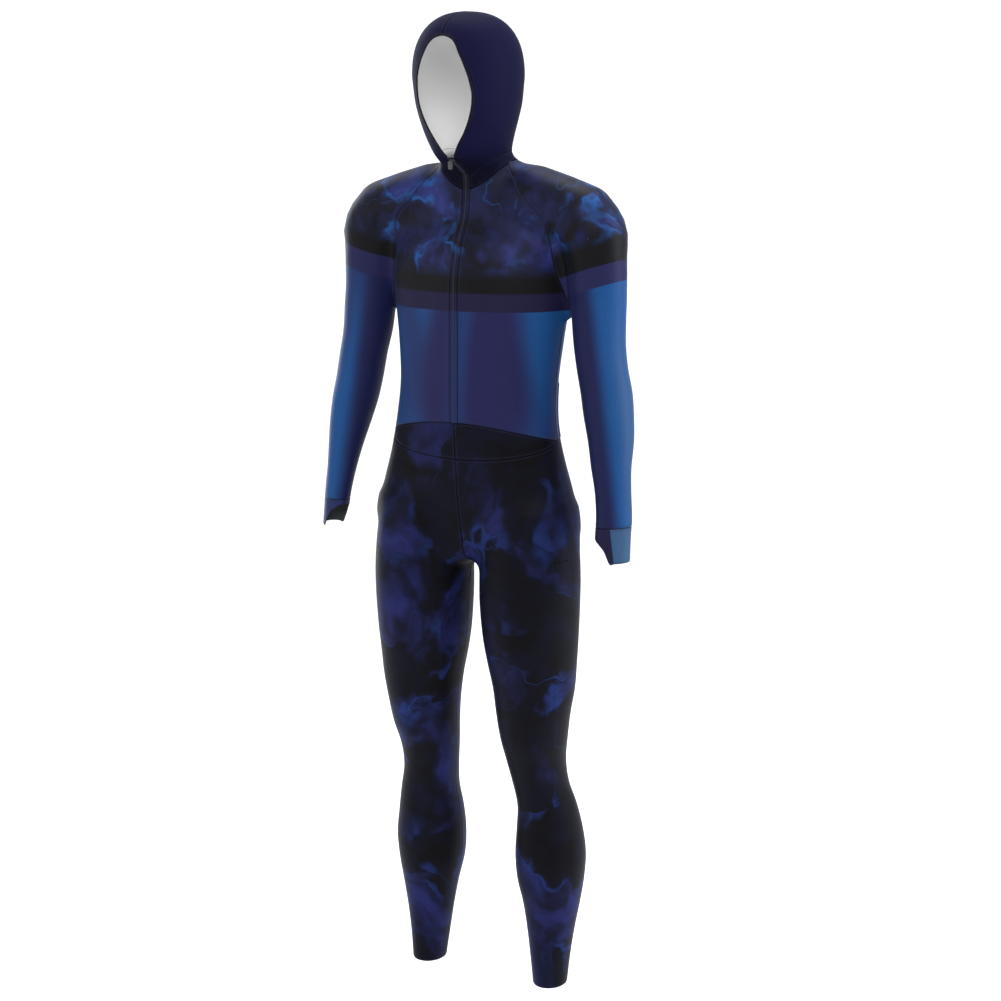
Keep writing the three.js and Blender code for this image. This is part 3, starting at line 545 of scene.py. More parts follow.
# %% Yoke and leg grids
LEG_ROWS = [846, 806, 762, 716, 668, 620, 575, 532, 492, 454, 414, 374, 336, 298, 258, 214, 166, 120,
            74]
LEG_TILT = 30.0


def yoke_lines():
    head = np.concatenate([front_point(0, waist[0, 2])[None], waist[:FRONT_COLUMNS + 1]])
    t = np.linspace(0, 1, len(head))
    z = mix(waist[0, 2] - YOKE_DEPTH, waist[FRONT_COLUMNS, 2], t**2.6)
    foot = on_form(level_core(z), vec(head[:, 0], head[:, 1], z))
    foot[-1] = head[-1]
    foot[0, 0] = head[0, 0] = 0
    return foot, head


yoke_foot, yoke_head = yoke_lines()
yoke_guide = mix(yoke_foot, yoke_head, 0.5)
yoke_middle = on_form(level_core(yoke_guide[:, 2]), yoke_guide)
tip_places = np.concatenate([np.arange(FRONT_COLUMNS + 1), [FRONT_COLUMNS + 0.5, FRONT_COLUMNS + 0.9]])
yoke_grid = np.stack([spline(line, tip_places) for line in (yoke_foot, yoke_middle, yoke_head)])


def centre_seam(start, side):
    core = vec(0, 8, 940)
    first = atan2(start[2] - core[2], (start[1] - core[1]) * side)
    angle = np.linspace(first, -pi / 2, 9)
    points = on_form(core, core + vec(0, np.cos(angle) * side, np.sin(angle)))
    points[0] = start
    return points


def make_leg():
    top = np.concatenate([yoke_foot, waist[FRONT_COLUMNS + 1:]])
    turn = pi + 2 * pi * np.linspace(0, 1, len(top))

    def ring(z, lift=0.0):
        s = section("leg", z)
        core = vec(s["x"], s["y"], z + lift * (1 - np.cos(turn + pi)) / 2)
        return on_form(core, core + vec(np.cos(turn), np.sin(turn), 0 * turn))

    def core_of(p, v):
        middle = section("torso", p[..., 2])["mid"]
        return vec(mix(0, 92, ease(v)), mix(middle, -14, v), np.clip(p[..., 2], 870, 1100))

    front_seam, back_seam = centre_seam(top[0], -1), centre_seam(top[-1], 1)
    first = ring(LEG_ROWS[0], LEG_TILT)
    first[0] = first[-1] = front_seam[-1]
    back_seam[-1] = front_seam[-1]
    upper = patch(top, first, front_seam, back_seam, core_of)
    lower = [ring(z, LEG_TILT * max(0, 1 - i / 5)) for i, z in enumerate(LEG_ROWS[1:], 1)]
    return np.concatenate([upper, np.stack(lower)]), len(upper) - 1


leg_grid, leg_open = make_leg()
print("yoke", yoke_grid.shape[:2], "leg", leg_grid.shape[:2], "open above row", leg_open)

# %% [markdown]
# The hood has two halves with a seam over the crown. Its front edge runs up the zip under the chin
# and then round the face opening, where a narrow elastic binding is sewn on.

# %% Collar, hood and binding grids
OPENING_TOP, OPENING_FOOT = 1740.0, 1542.0
OPENING_ROWS, CHIN_ROWS = 10, 3
CROWN_Y = -26.0


def head_core(p):
    t = np.clip((p[..., 2] - 1510) / 80, 0, 1)
    return vec(0, mix(2, -48, ease(t)), np.clip(p[..., 2], 1520, HEAD_MIDDLE))


def opening_point(half, z):
    return on_form(vec(half, -46, z), vec(half, -146, z))


def hood_front_edge():
    foot = opening_point(ZIP_HALF_WIDTH, OPENING_FOOT)
    steps = np.linspace(0, 1, CHIN_ROWS + 1)[1:-1, None]
    chin = on_form(vec(ZIP_HALF_WIDTH, -40, 1590), mix(hood_seam[0], foot, steps))
    sides = opening_point(OPENING["half"][::-1], OPENING["z"][::-1])
    top = opening_point(0.01, OPENING_TOP)
    edge = evenly([foot, *sides, top], OPENING_ROWS)
    edge = on_form(head_core(edge), edge)
    edge[0], edge[-1] = foot, opening_point(0.0, OPENING_TOP)
    return np.concatenate([hood_seam[:1], chin, edge])


def crown_line(start, end, count):
    core = vec(0, -48, HEAD_MIDDLE - 10)
    first = atan2(start[2] - core[2], start[1] - core[1])
    final = atan2(end[2] - core[2], end[1] - core[1])
    angle = np.linspace(first, final, count + 1)
    points = on_form(core, core + vec(0, np.cos(angle), np.sin(angle)))
    points[0], points[-1] = start, end
    return points


def make_hood():
    rows = len(hood_front) - 1
    crown = on_form(vec(0, CROWN_Y, HEAD_MIDDLE), vec(0, CROWN_Y, 1826))
    head = crown_line(hood_front[-1], crown, len(hood_seam) - 1)
    z = mix(hood_seam[-1, 2], 1640, np.linspace(0, 1, rows + 1))
    nape = on_form(vec(0, -20, z), vec(0, 100, z))
    nape[0] = hood_seam[-1]
    upper = crown_line(nape[-1], crown, rows)
    line = evenly(np.concatenate([nape[::2], upper[1:]]), rows)
    line = on_form(head_core(line), line)
    line[0], line[-1] = hood_seam[-1], crown
    line[:, 0] = 0
    return patch(hood_seam, head, hood_front, line, lambda p, v: head_core(p))


hood_front = hood_front_edge()
hood_grid = make_hood()
collar_grid = np.stack([neckline, hood_seam])


def binding_line(reach):
    edge = hood_front[CHIN_ROWS:]
    both = np.concatenate([edge, edge[-2::-1] * MIRROR])
    guide = both + unit(vec(0 - both[:, 0], 0, 1640 - both[:, 2])) * reach
    return opening_point(guide[:, 0], guide[:, 2])


binding_grid = np.stack([binding_line(0.15), binding_line(4.0)])
print("hood", hood_grid.shape[:2], "binding", binding_grid.shape[:2])

# %% [markdown]
# Cloth has two faces and an edge. This cell turns a grid into such a wall: it reads the grid
# finely, sets the points on the form, sinks the cut edges a little so that two neighbours make a
# seam groove, and writes two maps. The first gives each place in metres of cloth, for the knit.
# The second gives the distance to the nearest cut edge and the way along it, for the stitches.

# %% Cloth walls
CLOTH = 1.3
SEAM_HALF = 0.03
SEAM_DIP, DIP_WIDTH = 0.45, 0.8
SEAM_RIDGE, RIDGE_AT, RIDGE_WIDTH = 0.2, 2.5, 1.6
FAR_FROM_EDGES = 400.0
STRAY = 1.2
PARTS_PER_CELL = 4
STRETCH_ROUND, STRETCH_LONG = 1.14, 1.06


def places(count, dips, spacing):
    """Fractional grid places, with one more line close to each end that is a seam."""
    even = np.linspace(0, count, count * PARTS_PER_CELL + 1)
    near = min(0.3, RIDGE_AT / spacing)
    return np.unique(np.concatenate([even, [near] * dips[0], [count - near] * dips[1]]))


def fine_grid(grid, closed, seams):
    rows, columns = grid.shape[0] - 1, grid.shape[1] - 1
    row_places = places(rows, seams[:2], steps_of(grid, 0).mean())
    column_places = places(columns, (0, 0) if closed else seams[2:], steps_of(grid, 1).mean())
    tall = spline(grid, row_places)
    return spline(tall.swapaxes(0, 1), column_places, closed).swapaxes(0, 1), row_places


def runs(grid, axis):
    pad = [(0, 0), (0, 0)]
    pad[axis] = (1, 0)
    return np.pad(np.cumsum(steps_of(grid, axis), axis=axis), pad)


def edge_maps(grid, seams):
    """Distance to the nearest cut edge, and the length along that edge."""
    up, across = runs(grid, 0), runs(grid, 1)
    best = np.full(up.shape, 900.0)
    along = across.copy()
    for on, gap, run in ((seams[0], up, across), (seams[1], up[-1:] - up, across),
                         (seams[2], across, up), (seams[3], across[:, -1:] - across, up)):
        if on:
            along = np.where(gap < best, run, along)
            best = np.minimum(best, gap)
    return np.stack([best, along], -1)


def trim(grid, sides):
    """Moves cut edges in by half the seam gap, along the cloth."""
    out = grid.copy()
    every = slice(None)
    pairs = ((0, 1), (-1, -2), ((every, 0), (every, 1)), ((every, -1), (every, -2)))
    for on, (edge, inner) in zip(sides, pairs):
        if on:
            out[edge] = out[edge] + unit(grid[inner] - grid[edge]) * SEAM_HALF
    return out


def calm(field):
    """Averages each inner point of a grid with the points beside it."""
    around = field[:-2, 1:-1] + field[2:, 1:-1] + field[1:-1, :-2] + field[1:-1, 2:]
    out = field.copy()
    out[1:-1, 1:-1] = (field[1:-1, 1:-1] * 2 + around) / 6
    return out


def wall_mesh(name, grid, *, seams=(1, 1, 1, 1), hems=(0, 0, 0, 0), closed_from=None,
              outer=0.0, thick=CLOTH, mirror=False):
    """Makes one cloth piece. seams and hems mark its foot, head, left and right edges."""
    edges = np.maximum(seams, hems)
    fine, row_places = fine_grid(grid, closed_from == 0, edges)
    side = np.sign(fine[..., :1] + 1e-9)
    flip = np.concatenate([side, np.ones_like(side), np.ones_like(side)], -1)
    half = fine * flip
    on_middle = half[..., 0] < 0.2
    settled = settle(half)
    settled[..., 0] = np.where(on_middle, half[..., 0], settled[..., 0])
    normal = unit(calm(calm(form_normal(np.maximum(settled, [0.01, -1e9, -1e9])))))
    stray = ((calm(settled) - settled) * normal).sum(-1, keepdims=True)
    settled = settled + normal * np.where(abs(stray) > STRAY, stray, 0)
    fine, normal = settled * flip, normal * flip
    maps = edge_maps(fine, edges)
    near = maps[..., 0]
    relief = SEAM_RIDGE * np.exp(-((near - RIDGE_AT) / RIDGE_WIDTH)**2)
    relief = relief - SEAM_DIP * np.exp(-(near / DIP_WIDTH)**2)
    relief = np.where(near > FAR_FROM_EDGES, 0, relief)
    fine = trim(fine, seams)
    top = fine + normal * (outer + relief)[..., None]
    under = fine + normal * (outer - thick)
    joined = len(fine) if closed_from is None else int(np.searchsorted(row_places, closed_from))
    return build_wall(name, top, under, maps, joined, mirror)


def cells(index):
    return np.stack([index[:-1, :-1], index[:-1, 1:], index[1:, 1:], index[1:, :-1]], -1).reshape(-1, 4)


def signed_volume(points, faces):
    a, b, c, d = (points[faces[:, k]] for k in range(4))
    return float((a * (np.cross(b, c) + np.cross(c, d))).sum())


def sheet_area(grid):
    a, b, c, d = grid[:-1, :-1], grid[:-1, 1:], grid[1:, 1:], grid[1:, :-1]
    return float(np.linalg.norm(np.cross(c - a, d - b), axis=-1).sum() / 2)


def smooth_mesh(name, points, faces):
    mesh = bpy.data.meshes.new(name)
    mesh.from_pydata(np.asarray(points, float).tolist(), [], faces)
    mesh.polygons.foreach_set("use_smooth", np.ones(len(faces), bool))
    return mesh


def build_wall(name, top, under, maps, joined, mirror):
    """Closes two faces into a wall. From the row called joined on, the sheet is a tube."""
    rows, columns = top.shape[:2]
    shift = rows * columns
    corner = np.arange(shift).reshape(rows, columns)
    index = corner.copy()
    index[joined:, -1] = index[joined:, 0]
    quads, corners = cells(index), cells(corner)
    end = min(joined, rows - 1)
    lines = index[0, ::-1], index[-1], index[:end + 1, 0], index[end::-1, -1]
    a, b = np.concatenate([np.stack([line[:-1], line[1:]], -1) for line in lines]).T
    rim = np.stack([a, b, b + shift, a + shift], -1)
    faces = np.concatenate([quads, quads[:, ::-1] + shift, rim])
    loops = np.concatenate([corners, corners[:, ::-1], rim % shift])
    points = np.concatenate([top.reshape(-1, 3), under.reshape(-1, 3)]) - [0, 0, ORIGIN_HEIGHT]
    across, up = runs(top, 1), runs(top, 0)
    if signed_volume(points, faces) < 0:
        faces, loops = faces[:, ::-1], loops[:, ::-1]
    if mirror:
        points = points * MIRROR
        faces, loops = faces[:, ::-1], loops[:, ::-1]
    used, faces = np.unique(faces, return_inverse=True)
    mesh = smooth_mesh(name, points[used] * MM, faces.reshape(-1, 4).tolist())
    for label, values in (("cloth", np.stack([across, up], -1)), ("edge", maps)):
        spots = values.reshape(-1, 2)[loops.ravel()] * MM
        mesh.uv_layers.new(name=label).data.foreach_set("uv", spots.astype(np.float32).ravel())
    inside = np.zeros(len(loops), np.int32)
    inside[len(quads):2 * len(quads)] = 1
    mesh.polygons.foreach_set("material_index", inside)
    mesh.update()
    size = {"wide": across[:, -1].max() * MM, "long": up[-1].max() * MM, "area": sheet_area(top) * MM**2}
    return add_object(name, mesh), size


print("cloth", CLOTH, "mm, stretched", STRETCH_ROUND, "round and", STRETCH_LONG, "along")

# %% [markdown]
# Stretch knit is seen first by its colour and its satin sheen, and close to by fine rows of
# loops. The effects that several cloths share are node groups: the knit, the stitches beside a cut
# edge with painted shade in the seam groove beside them, and a smoky print of clouds and thin veins.
# The print is this script's own noise.

# %% Node groups


def feed(tree, socket, value):
    """Links a source to the socket, or sets a plain value on it."""
    if isinstance(value, bpy.types.NodeSocket):
        tree.links.new(value, socket)
    else:
        socket.default_value = value


def add_node(tree, kind, feeds=(), **settings):
    """Adds a node and returns its outputs. feeds pairs its inputs with values or sources."""
    node = tree.nodes.new("ShaderNode" + kind)
    for name, value in settings.items():
        setattr(node, name, value)
    for key, value in dict(feeds).items():
        feed(tree, node.inputs[key], value)
    return node.outputs


def calc(tree, operation, *values, clamp=False):
    return add_node(tree, "Math", enumerate(values), operation=operation, use_clamp=clamp)[0]


def smooth_step(tree, value, low, high):
    feeds = {"Value": value, "From Min": low, "From Max": high}
    return add_node(tree, "MapRange", feeds, interpolation_type="SMOOTHSTEP")["Result"]


def near_value(tree, value, middle, inner, outer):
    """1 where the value is close to the middle one, falling to 0 at the outer distance."""
    off = calc(tree, "ABSOLUTE", calc(tree, "SUBTRACT", value, middle))
    return calc(tree, "SUBTRACT", 1.0, smooth_step(tree, off, inner, outer))


def ripple(tree, value):
    return calc(tree, "ABSOLUTE", calc(tree, "SINE", calc(tree, "MULTIPLY", value, pi)))


def noise(tree, vector, scale, detail=3.0, roughness=0.5, output="Fac"):
    feeds = {"Vector": vector, "Scale": scale, "Detail": detail, "Roughness": roughness}
    return add_node(tree, "TexNoise", feeds)[output]


def whole_place(tree):
    return add_node(tree, "TexCoord")["Object"]


def uv_parts(tree, name):
    split = add_node(tree, "SeparateXYZ", {"Vector": add_node(tree, "UVMap", uv_map=name)["UV"]})
    return split["X"], split["Y"]


def new_group(name, inputs, outputs):
    group = bpy.data.node_groups.new(name, "ShaderNodeTree")
    for label, value in inputs.items():
        kind = "NodeSocketVector" if value is None else "NodeSocketFloat"
        socket = group.interface.new_socket(label, in_out="INPUT", socket_type=kind)
        if value is not None:
            socket.default_value = value
    for label in outputs:
        group.interface.new_socket(label, in_out="OUTPUT", socket_type="NodeSocketFloat")
    return group, group.nodes.new("NodeGroupInput").outputs, group.nodes.new("NodeGroupOutput").inputs


def knit_group():
    group, given, result = new_group("knit", {"Rows per metre": 900.0}, ["Height", "Fleck"])
    u, v = uv_parts(group, "cloth")
    wale = ripple(group, calc(group, "MULTIPLY", u, given[0]))
    course = ripple(group, calc(group, "MULTIPLY_ADD", wale, 0.35, calc(group, "MULTIPLY", v, given[0])))
    height = calc(group, "MULTIPLY_ADD", course, 0.65, calc(group, "MULTIPLY", wale, 0.35))
    feed(group, result["Height"], height)
    feed(group, result["Fleck"], noise(group, whole_place(group), 420.0, 2.0))
    return group


def stitch_group():
    inputs = {"From edge": 0.003, "Length": 0.0032}
    group, given, result = new_group("stitches", inputs, ["Thread", "Groove shade"])
    near, along = uv_parts(group, "edge")
    line = near_value(group, near, given["From edge"], 0.0003, 0.0008)
    beat = calc(group, "FRACT", calc(group, "DIVIDE", along, given["Length"]))
    off = calc(group, "ABSOLUTE", calc(group, "SUBTRACT", beat, 0.5))
    feed(group, result["Thread"], calc(group, "MULTIPLY", line, smooth_step(group, off, 0.42, 0.34)))
    # The groove output is painted shade: 1 at the cut edge, gone 1.6 mm in, where the seam groove lies
    # in shadow.
    feed(group, result["Groove shade"], calc(group, "SUBTRACT", 1.0, smooth_step(group, near, 0.0003, 0.0016)))
    return group


def smoke_group():
    outputs = ["Cloud", "Rim", "Vein", "Depth"]
    group, given, result = new_group("smoke print", {"Shift": None, "Size": 1.0}, outputs)
    feeds = {0: whole_place(group), "Scale": given["Size"]}
    scaled = add_node(group, "VectorMath", feeds, operation="SCALE")[0]
    moved = add_node(group, "VectorMath", {0: scaled, 1: given["Shift"]})[0]
    swirl = noise(group, moved, 7.0, output="Color")
    feeds = {0: swirl, 1: (0.2, 0.2, 0.26), 2: moved}
    bent = add_node(group, "VectorMath", feeds, operation="MULTIPLY_ADD")[0]
    cloud = noise(group, bent, 9.0, 4.0, 0.48)
    feed(group, result["Cloud"], smooth_step(group, cloud, 0.47, 0.68))
    torn = smooth_step(group, noise(group, moved, 14.0), 0.46, 0.66)
    rim = near_value(group, cloud, 0.545, 0.0, 0.05)
    feed(group, result["Rim"], calc(group, "MULTIPLY", rim, torn))
    vein = near_value(group, noise(group, bent, 4.6, 2.0, 0.45), 0.47, 0.0, 0.0035)
    patchy = smooth_step(group, noise(group, moved, 5.0, 1.0), 0.45, 0.6)
    feed(group, result["Vein"], calc(group, "MULTIPLY", vein, patchy))
    feed(group, result["Depth"], noise(group, bent, 22.0))
    return group


KNIT, STITCH, SMOKE = knit_group(), stitch_group(), smoke_group()
print("groups", [group.name for group in (KNIT, STITCH, SMOKE)])

# %% [markdown]
# Each cloth is a Principled shader with satin roughness and some sheen. Its colour comes from a
# print or an even dye, with painted shade and painted highlights in places, darkened a little by the
# knit, and the stitches beside each cut edge are raised and tinted, with painted shade in the seam
# groove. The colours are named once, here, the sleeves' painted shade and painted sheen among them.

# %% Materials


def srgb(red, green, blue):
    parts = [value / 255 for value in (red, green, blue)]
    return (*[p / 12.92 if p <= 0.04045 else ((p + 0.055) / 1.055)**2.4 for p in parts], 1.0)


BLACK = srgb(7, 7, 10)
NIGHT = srgb(20, 17, 44)
PURPLE = srgb(24, 24, 62)
INDIGO = srgb(33, 40, 94)
BLUE = srgb(17, 60, 108)
BRIGHT = srgb(26, 84, 148)
# The next two are painted light on the sleeves: shade on the inner half, and a sheen highlight low on
# the outer half.
INNER_SHADE = srgb(18, 21, 56)
SHEEN_BLUE = srgb(36, 66, 104)
HOOD_COLOUR = srgb(14, 13, 40)
THREAD = srgb(26, 26, 50)


def mix_colour(tree, factor, a, b):
    return add_node(tree, "Mix", {0: factor, 6: a, 7: b}, data_type="RGBA")[2]


def layered(tree, colour, *layers):
    """Lays colours over one another; each layer is a mask and a colour."""
    for mask, over in layers:
        colour = mix_colour(tree, mask, colour, over)
    return colour


def place_group(tree, group, **values):
    feeds = {label.capitalize(): value for label, value in values.items()}
    return add_node(tree, "Group", feeds, node_tree=group)


def new_material(name, look):
    """A plain Principled material; look names the shader's even values."""
    material = bpy.data.materials.new(name)
    material.use_nodes = True
    shader = material.node_tree.nodes["Principled BSDF"]
    for label, value in look.items():
        shader.inputs[label].default_value = value
    return material, material.node_tree, shader.inputs


def add_bump(tree, shader, height, strength, distance):
    feeds = {"Height": height, "Strength": strength, "Distance": distance}
    feed(tree, shader["Normal"], add_node(tree, "Bump", feeds)["Normal"])


def cloth_material(name, colour_of, *, roughness=0.5, sheen=0.05, knit=0.25, stitched=True,
                   specular=0.08, fleck=0.22):
    """A knitted cloth. colour_of(tree, place, at) gives the base colour, a source or a tuple."""
    look = {"Roughness": roughness, "Sheen Weight": sheen, "Sheen Roughness": 0.35,
            "Sheen Tint": srgb(150, 176, 220), "Specular IOR Level": specular}
    material, tree, shader = new_material(name, look)
    place = whole_place(tree)
    colour = colour_of(tree, place, add_node(tree, "SeparateXYZ", {"Vector": place}))
    weave = place_group(tree, KNIT)
    colour = layered(tree, colour, (calc(tree, "MULTIPLY", weave["Fleck"], fleck), BLACK))
    height = calc(tree, "MULTIPLY", weave["Height"], knit)
    if stitched:
        seam = place_group(tree, STITCH)
        # Painted shade darkens the seam groove toward black; the thread tint is the stitches' own
        # colour.
        colour = layered(tree, colour, (calc(tree, "MULTIPLY", seam["Groove shade"], 0.75), BLACK),
                         (calc(tree, "MULTIPLY", seam["Thread"], 0.7), THREAD))
        height = calc(tree, "ADD", height, seam["Thread"])
    feed(tree, shader["Base Color"], colour)
    add_bump(tree, shader, height, 0.35, 0.0005)
    return material


print("night blue, linear", [round(part, 4) for part in NIGHT[:3]])

# %% [markdown]
# The printed cloths choose their colour by height: smoke on the chest, a black band, a dark band
# and then plain blue with long soft blotches. On the sleeves the bands lean with the arm, and painted
# shade makes the blue darker on the inner half than on the outer one, while a painted sheen highlight
# lightens the left sleeve's outer half low down. The hood darkens toward the collar with painted shade.

# %% Prints
CHEST_BANDS = {"print": 1345, "black": 1323, "dark": 1293}
LEFT_BANDS = {"print": 1397, "stripe": 1366, "foot": 1332}
RIGHT_BANDS = {"print": 1405, "stripe": 1385, "foot": 1346}
PRINT_EDGE = 0.0006
SLEEVE_MIDDLE, BAND_SLOPE = 0.216, -0.31
ARM_SLOPE, ARM_START = 0.135, 0.17


def smoke_colour(tree, shift, size, base, body, rim, vein, haze=0.08):
    smoke = place_group(tree, SMOKE, shift=shift, size=size)
    depth = smooth_step(tree, smoke["Depth"], 0.3, 0.72)
    filled = calc(tree, "MULTIPLY", smoke["Cloud"], calc(tree, "MULTIPLY_ADD", depth, 0.8, 0.2))
    filled = calc(tree, "MULTIPLY_ADD", depth, haze, filled, clamp=True)
    return layered(tree, base, (filled, body), (calc(tree, "MULTIPLY", smoke["Rim"], 0.55), rim),
                   (calc(tree, "MULTIPLY", smoke["Vein"], 0.45), vein))


def chest_smoke(tree):
    return smoke_colour(tree, (0.31, 0.12, 0.44), 1.0, BLACK, INDIGO, BRIGHT, BLUE, 0.35)


def blotchy_blue(tree, place, tall=1.1, more=0.0):
    feeds = {"Vector": place, "Scale": (1.0, 1.0, 0.22 * tall)}
    soft = noise(tree, add_node(tree, "Mapping", feeds)[0], 9.0, 1.5, 0.4)
    return mix_colour(tree, smooth_step(tree, soft, 0.36 + more, 0.64 + more), PURPLE, BLUE)


def fade(tree, height, above, over):
    """Grows from 0 to 1 over a stretch of cloth, so that smoke sinks softly into a band."""
    level = (above - ORIGIN_HEIGHT) * MM
    return smooth_step(tree, height, level, level + over * MM)


def band(tree, height, above):
    """1 above the given height over the floor, 0 below, with a print's soft edge."""
    level = (above - ORIGIN_HEIGHT) * MM
    return smooth_step(tree, height, level - PRINT_EDGE, level + PRINT_EDGE)


def torso_colour(tree, place, at):
    height = at["Z"]
    return layered(tree, blotchy_blue(tree, place), (band(tree, height, CHEST_BANDS["dark"]), NIGHT),
                   (band(tree, height, CHEST_BANDS["black"]), BLACK),
                   (fade(tree, height, CHEST_BANDS["print"], 34), chest_smoke(tree)))


def hood_colour_with_shade(tree, place, at):
    """The hood's and the collar's cloth, with painted shade: darker toward the neck, where it lies in
    shadow.
    """
    return mix_colour(tree, fade(tree, at["Z"], 1490, 90), srgb(7, 7, 18), HOOD_COLOUR)


def tape_colour(tree, place, at):
    """The zip's tape takes the fronts' print, and above them the hood's colour with its painted shade.
    """
    colour = torso_colour(tree, place, at)
    return mix_colour(tree, band(tree, at["Z"], 1489), colour, hood_colour_with_shade(tree, place, at))


def sleeve_lean(tree, at):
    return calc(tree, "SUBTRACT", calc(tree, "ABSOLUTE", at["X"]), SLEEVE_MIDDLE)


def outward(tree, at, turn):
    """Grows from a hanging sleeve's inner half to its outer half, in metres, 0 near its middle."""
    lean = calc(tree, "MULTIPLY_ADD", at["Y"], turn, sleeve_lean(tree, at))
    return calc(tree, "MULTIPLY_ADD", calc(tree, "ADD", at["Z"], ARM_START), ARM_SLOPE, lean)


def sleeve_colour_of(bands, turn, more, pale):
    def colour_of(tree, place, at):
        level = calc(tree, "MULTIPLY_ADD", sleeve_lean(tree, at), BAND_SLOPE, at["Z"])
        side = outward(tree, at, turn)
        # Painted sheen highlight: lit lays a paler blue low on the outer half, weighted by pale.
        low = calc(tree, "MULTIPLY", smooth_step(tree, at["Z"], -0.13, -0.30), pale)
        lit = calc(tree, "MULTIPLY", smooth_step(tree, side, 0.004, 0.034), low)
        # The inner half darkens with painted shade; the bands and smoke above are print.
        return layered(tree, blotchy_blue(tree, place, 1.4, more), (lit, SHEEN_BLUE),
                       (smooth_step(tree, side, 0.008, -0.022), INNER_SHADE),
                       (band(tree, level, bands["foot"]), srgb(25, 25, 60)),
                       (band(tree, level, bands["stripe"]), BLACK),
                       (fade(tree, level, bands["print"], 26), chest_smoke(tree)))
    return colour_of


def leg_colour(tree, place, at):
    colours = BLACK, srgb(26, 30, 74), srgb(26, 44, 98), srgb(30, 50, 112)
    return smoke_colour(tree, (0.83, 0.27, 0.05), 0.8, *colours)


def cuff_colour(tree, place, at):
    """The left cuff is night blue on its inner half and pale blue on its outer half, split sharply
    between.
    """
    split = smooth_step(tree, outward(tree, at, 0.5), -0.0225, -0.0215)
    return mix_colour(tree, split, NIGHT, srgb(42, 68, 98))


def plain(*colour):
    return lambda tree, place, at: srgb(*colour)


CLOTHS = {name: cloth_material(label, colour, **options) for name, label, colour, options in (
    ("top", "printed knit", torso_colour, {}),
    # The left sleeve's last value weights its painted sheen highlight; the right sleeve has none.
    ("sleeve_left", "printed sleeve knit left", sleeve_colour_of(LEFT_BANDS, 0.5, -0.25, 0.85), {}),
    ("sleeve_right", "printed sleeve knit right", sleeve_colour_of(RIGHT_BANDS, 0.0, -0.05, 0.0), {}),
    ("leg", "smoky leg knit", leg_colour, {"sheen": 0.01, "specular": 0.04}),
    ("cuff_left", "left cuff knit", cuff_colour, {"sheen": 0.1}),
    ("cuff_right", "right cuff knit", plain(26, 34, 72), {}),
    ("hood", "hood knit", hood_colour_with_shade, {"roughness": 0.6, "sheen": 0.01, "specular": 0.02}),
    ("binding", "elastic binding", plain(10, 10, 24),
     {"roughness": 0.7, "sheen": 0.0, "knit": 0.6, "stitched": False}),
    ("white_inside", "white reverse", plain(246, 246, 246),
     {"roughness": 0.8, "sheen": 0.0, "stitched": False, "fleck": 0.05}),
    ("dark_inside", "grey reverse", plain(52, 56, 56), {"roughness": 0.8, "stitched": False}),
    ("tape", "zip tape", tape_colour, {"roughness": 0.7, "knit": 0.8}),
)}
print("cloths", list(CLOTHS))

# %% [markdown]
# Now the pieces are cut. Each rides on the suit's body and stands for its node in the imported model,
# and the size it had on the cutting table is printed: knit is cut
# smaller than it is worn, and stretches more round the body than along it.

# %% Cloth pieces
SUIT = "suit"
POCKET_TOP = 1187.0
BINDING_LIFT, BINDING_DEPTH = 0.5, 2.3
BINDING_FLAT = (0.41, 0.01)


def dress(name, node, made, cloth, inside, slot, flat=None):
    piece, size = made
    piece.data.materials.append(CLOTHS[cloth])
    piece.data.materials.append(CLOTHS[inside])
    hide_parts(node)
    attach(piece, SUIT)
    width, length = flat or (size["wide"] / STRETCH_ROUND, size["long"] / STRETCH_LONG)
    area = width * length
    if not flat:
        area = min(size["area"] / (STRETCH_ROUND * STRETCH_LONG), area)
    print(name, "faces", len(piece.data.polygons), "flat", round(width, 3), round(length, 3))


def dress_pair(node, grids, cloth, inside, slot, **options):
    """Dresses a left piece and its mirrored right one; SIDE in a cloth's name becomes the side."""
    for side, grid in zip(("left", "right"), grids):
        name = f"{node}_{side}_cloth"
        made = wall_mesh(name, grid, mirror=side == "right", **options)
        dress(name, f"{node}_{side}", made, cloth.replace("SIDE", side), inside, slot)


PRINTED = "dark_inside", "print_cloth"
ONE_HEM = (0, 1, 0, 0)
dress_pair("front", [front_grid] * 2, "top", *PRINTED)
dress("back_cloth", "back", wall_mesh("back_cloth", back_grid), "top", *PRINTED)
dress_pair("sleeve", [sleeve_grid] * 2, "sleeve_SIDE", *PRINTED, seams=(1, 1, 0, 0), closed_from=0)
dress_pair("front_yoke", [yoke_grid] * 2, "leg", "dark_inside", "leg_cloth", seams=(1, 1, 1, 0))
dress_pair("leg", [leg_grid] * 2, "leg", "dark_inside", "leg_cloth", seams=(1, 0, 1, 1), hems=ONE_HEM,
           closed_from=leg_open)
dress_pair("collar", [collar_grid] * 2, "hood", "white_inside", "hood_cloth")
dress_pair("hood", [hood_grid] * 2, "hood", "white_inside", "hood_cloth")
dress_pair("cuff", cuff_grids, "cuff_SIDE", "dark_inside", "cuff_cloth", seams=(1, 0, 0, 0),
           hems=ONE_HEM, closed_from=0)
pocket_rows = back_grid[back_grid[:, BACK_COLUMNS, 2] <= POCKET_TOP][:, 1:-1]
pocket = wall_mesh("back_pocket_cloth", pocket_rows, outer=CLOTH + 2 * SEAM_HALF, seams=(1, 0, 0, 0),
                   hems=(0, 1, 1, 1))
dress("back_pocket_cloth", "back_pocket", pocket, "top", *PRINTED)
binding = wall_mesh("face_binding_cloth", binding_grid, outer=BINDING_LIFT, thick=BINDING_DEPTH,
                    seams=(0, 0, 0, 0))
dress("face_binding_cloth", "face_binding", binding, "binding", "binding", "edging", flat=BINDING_FLAT)

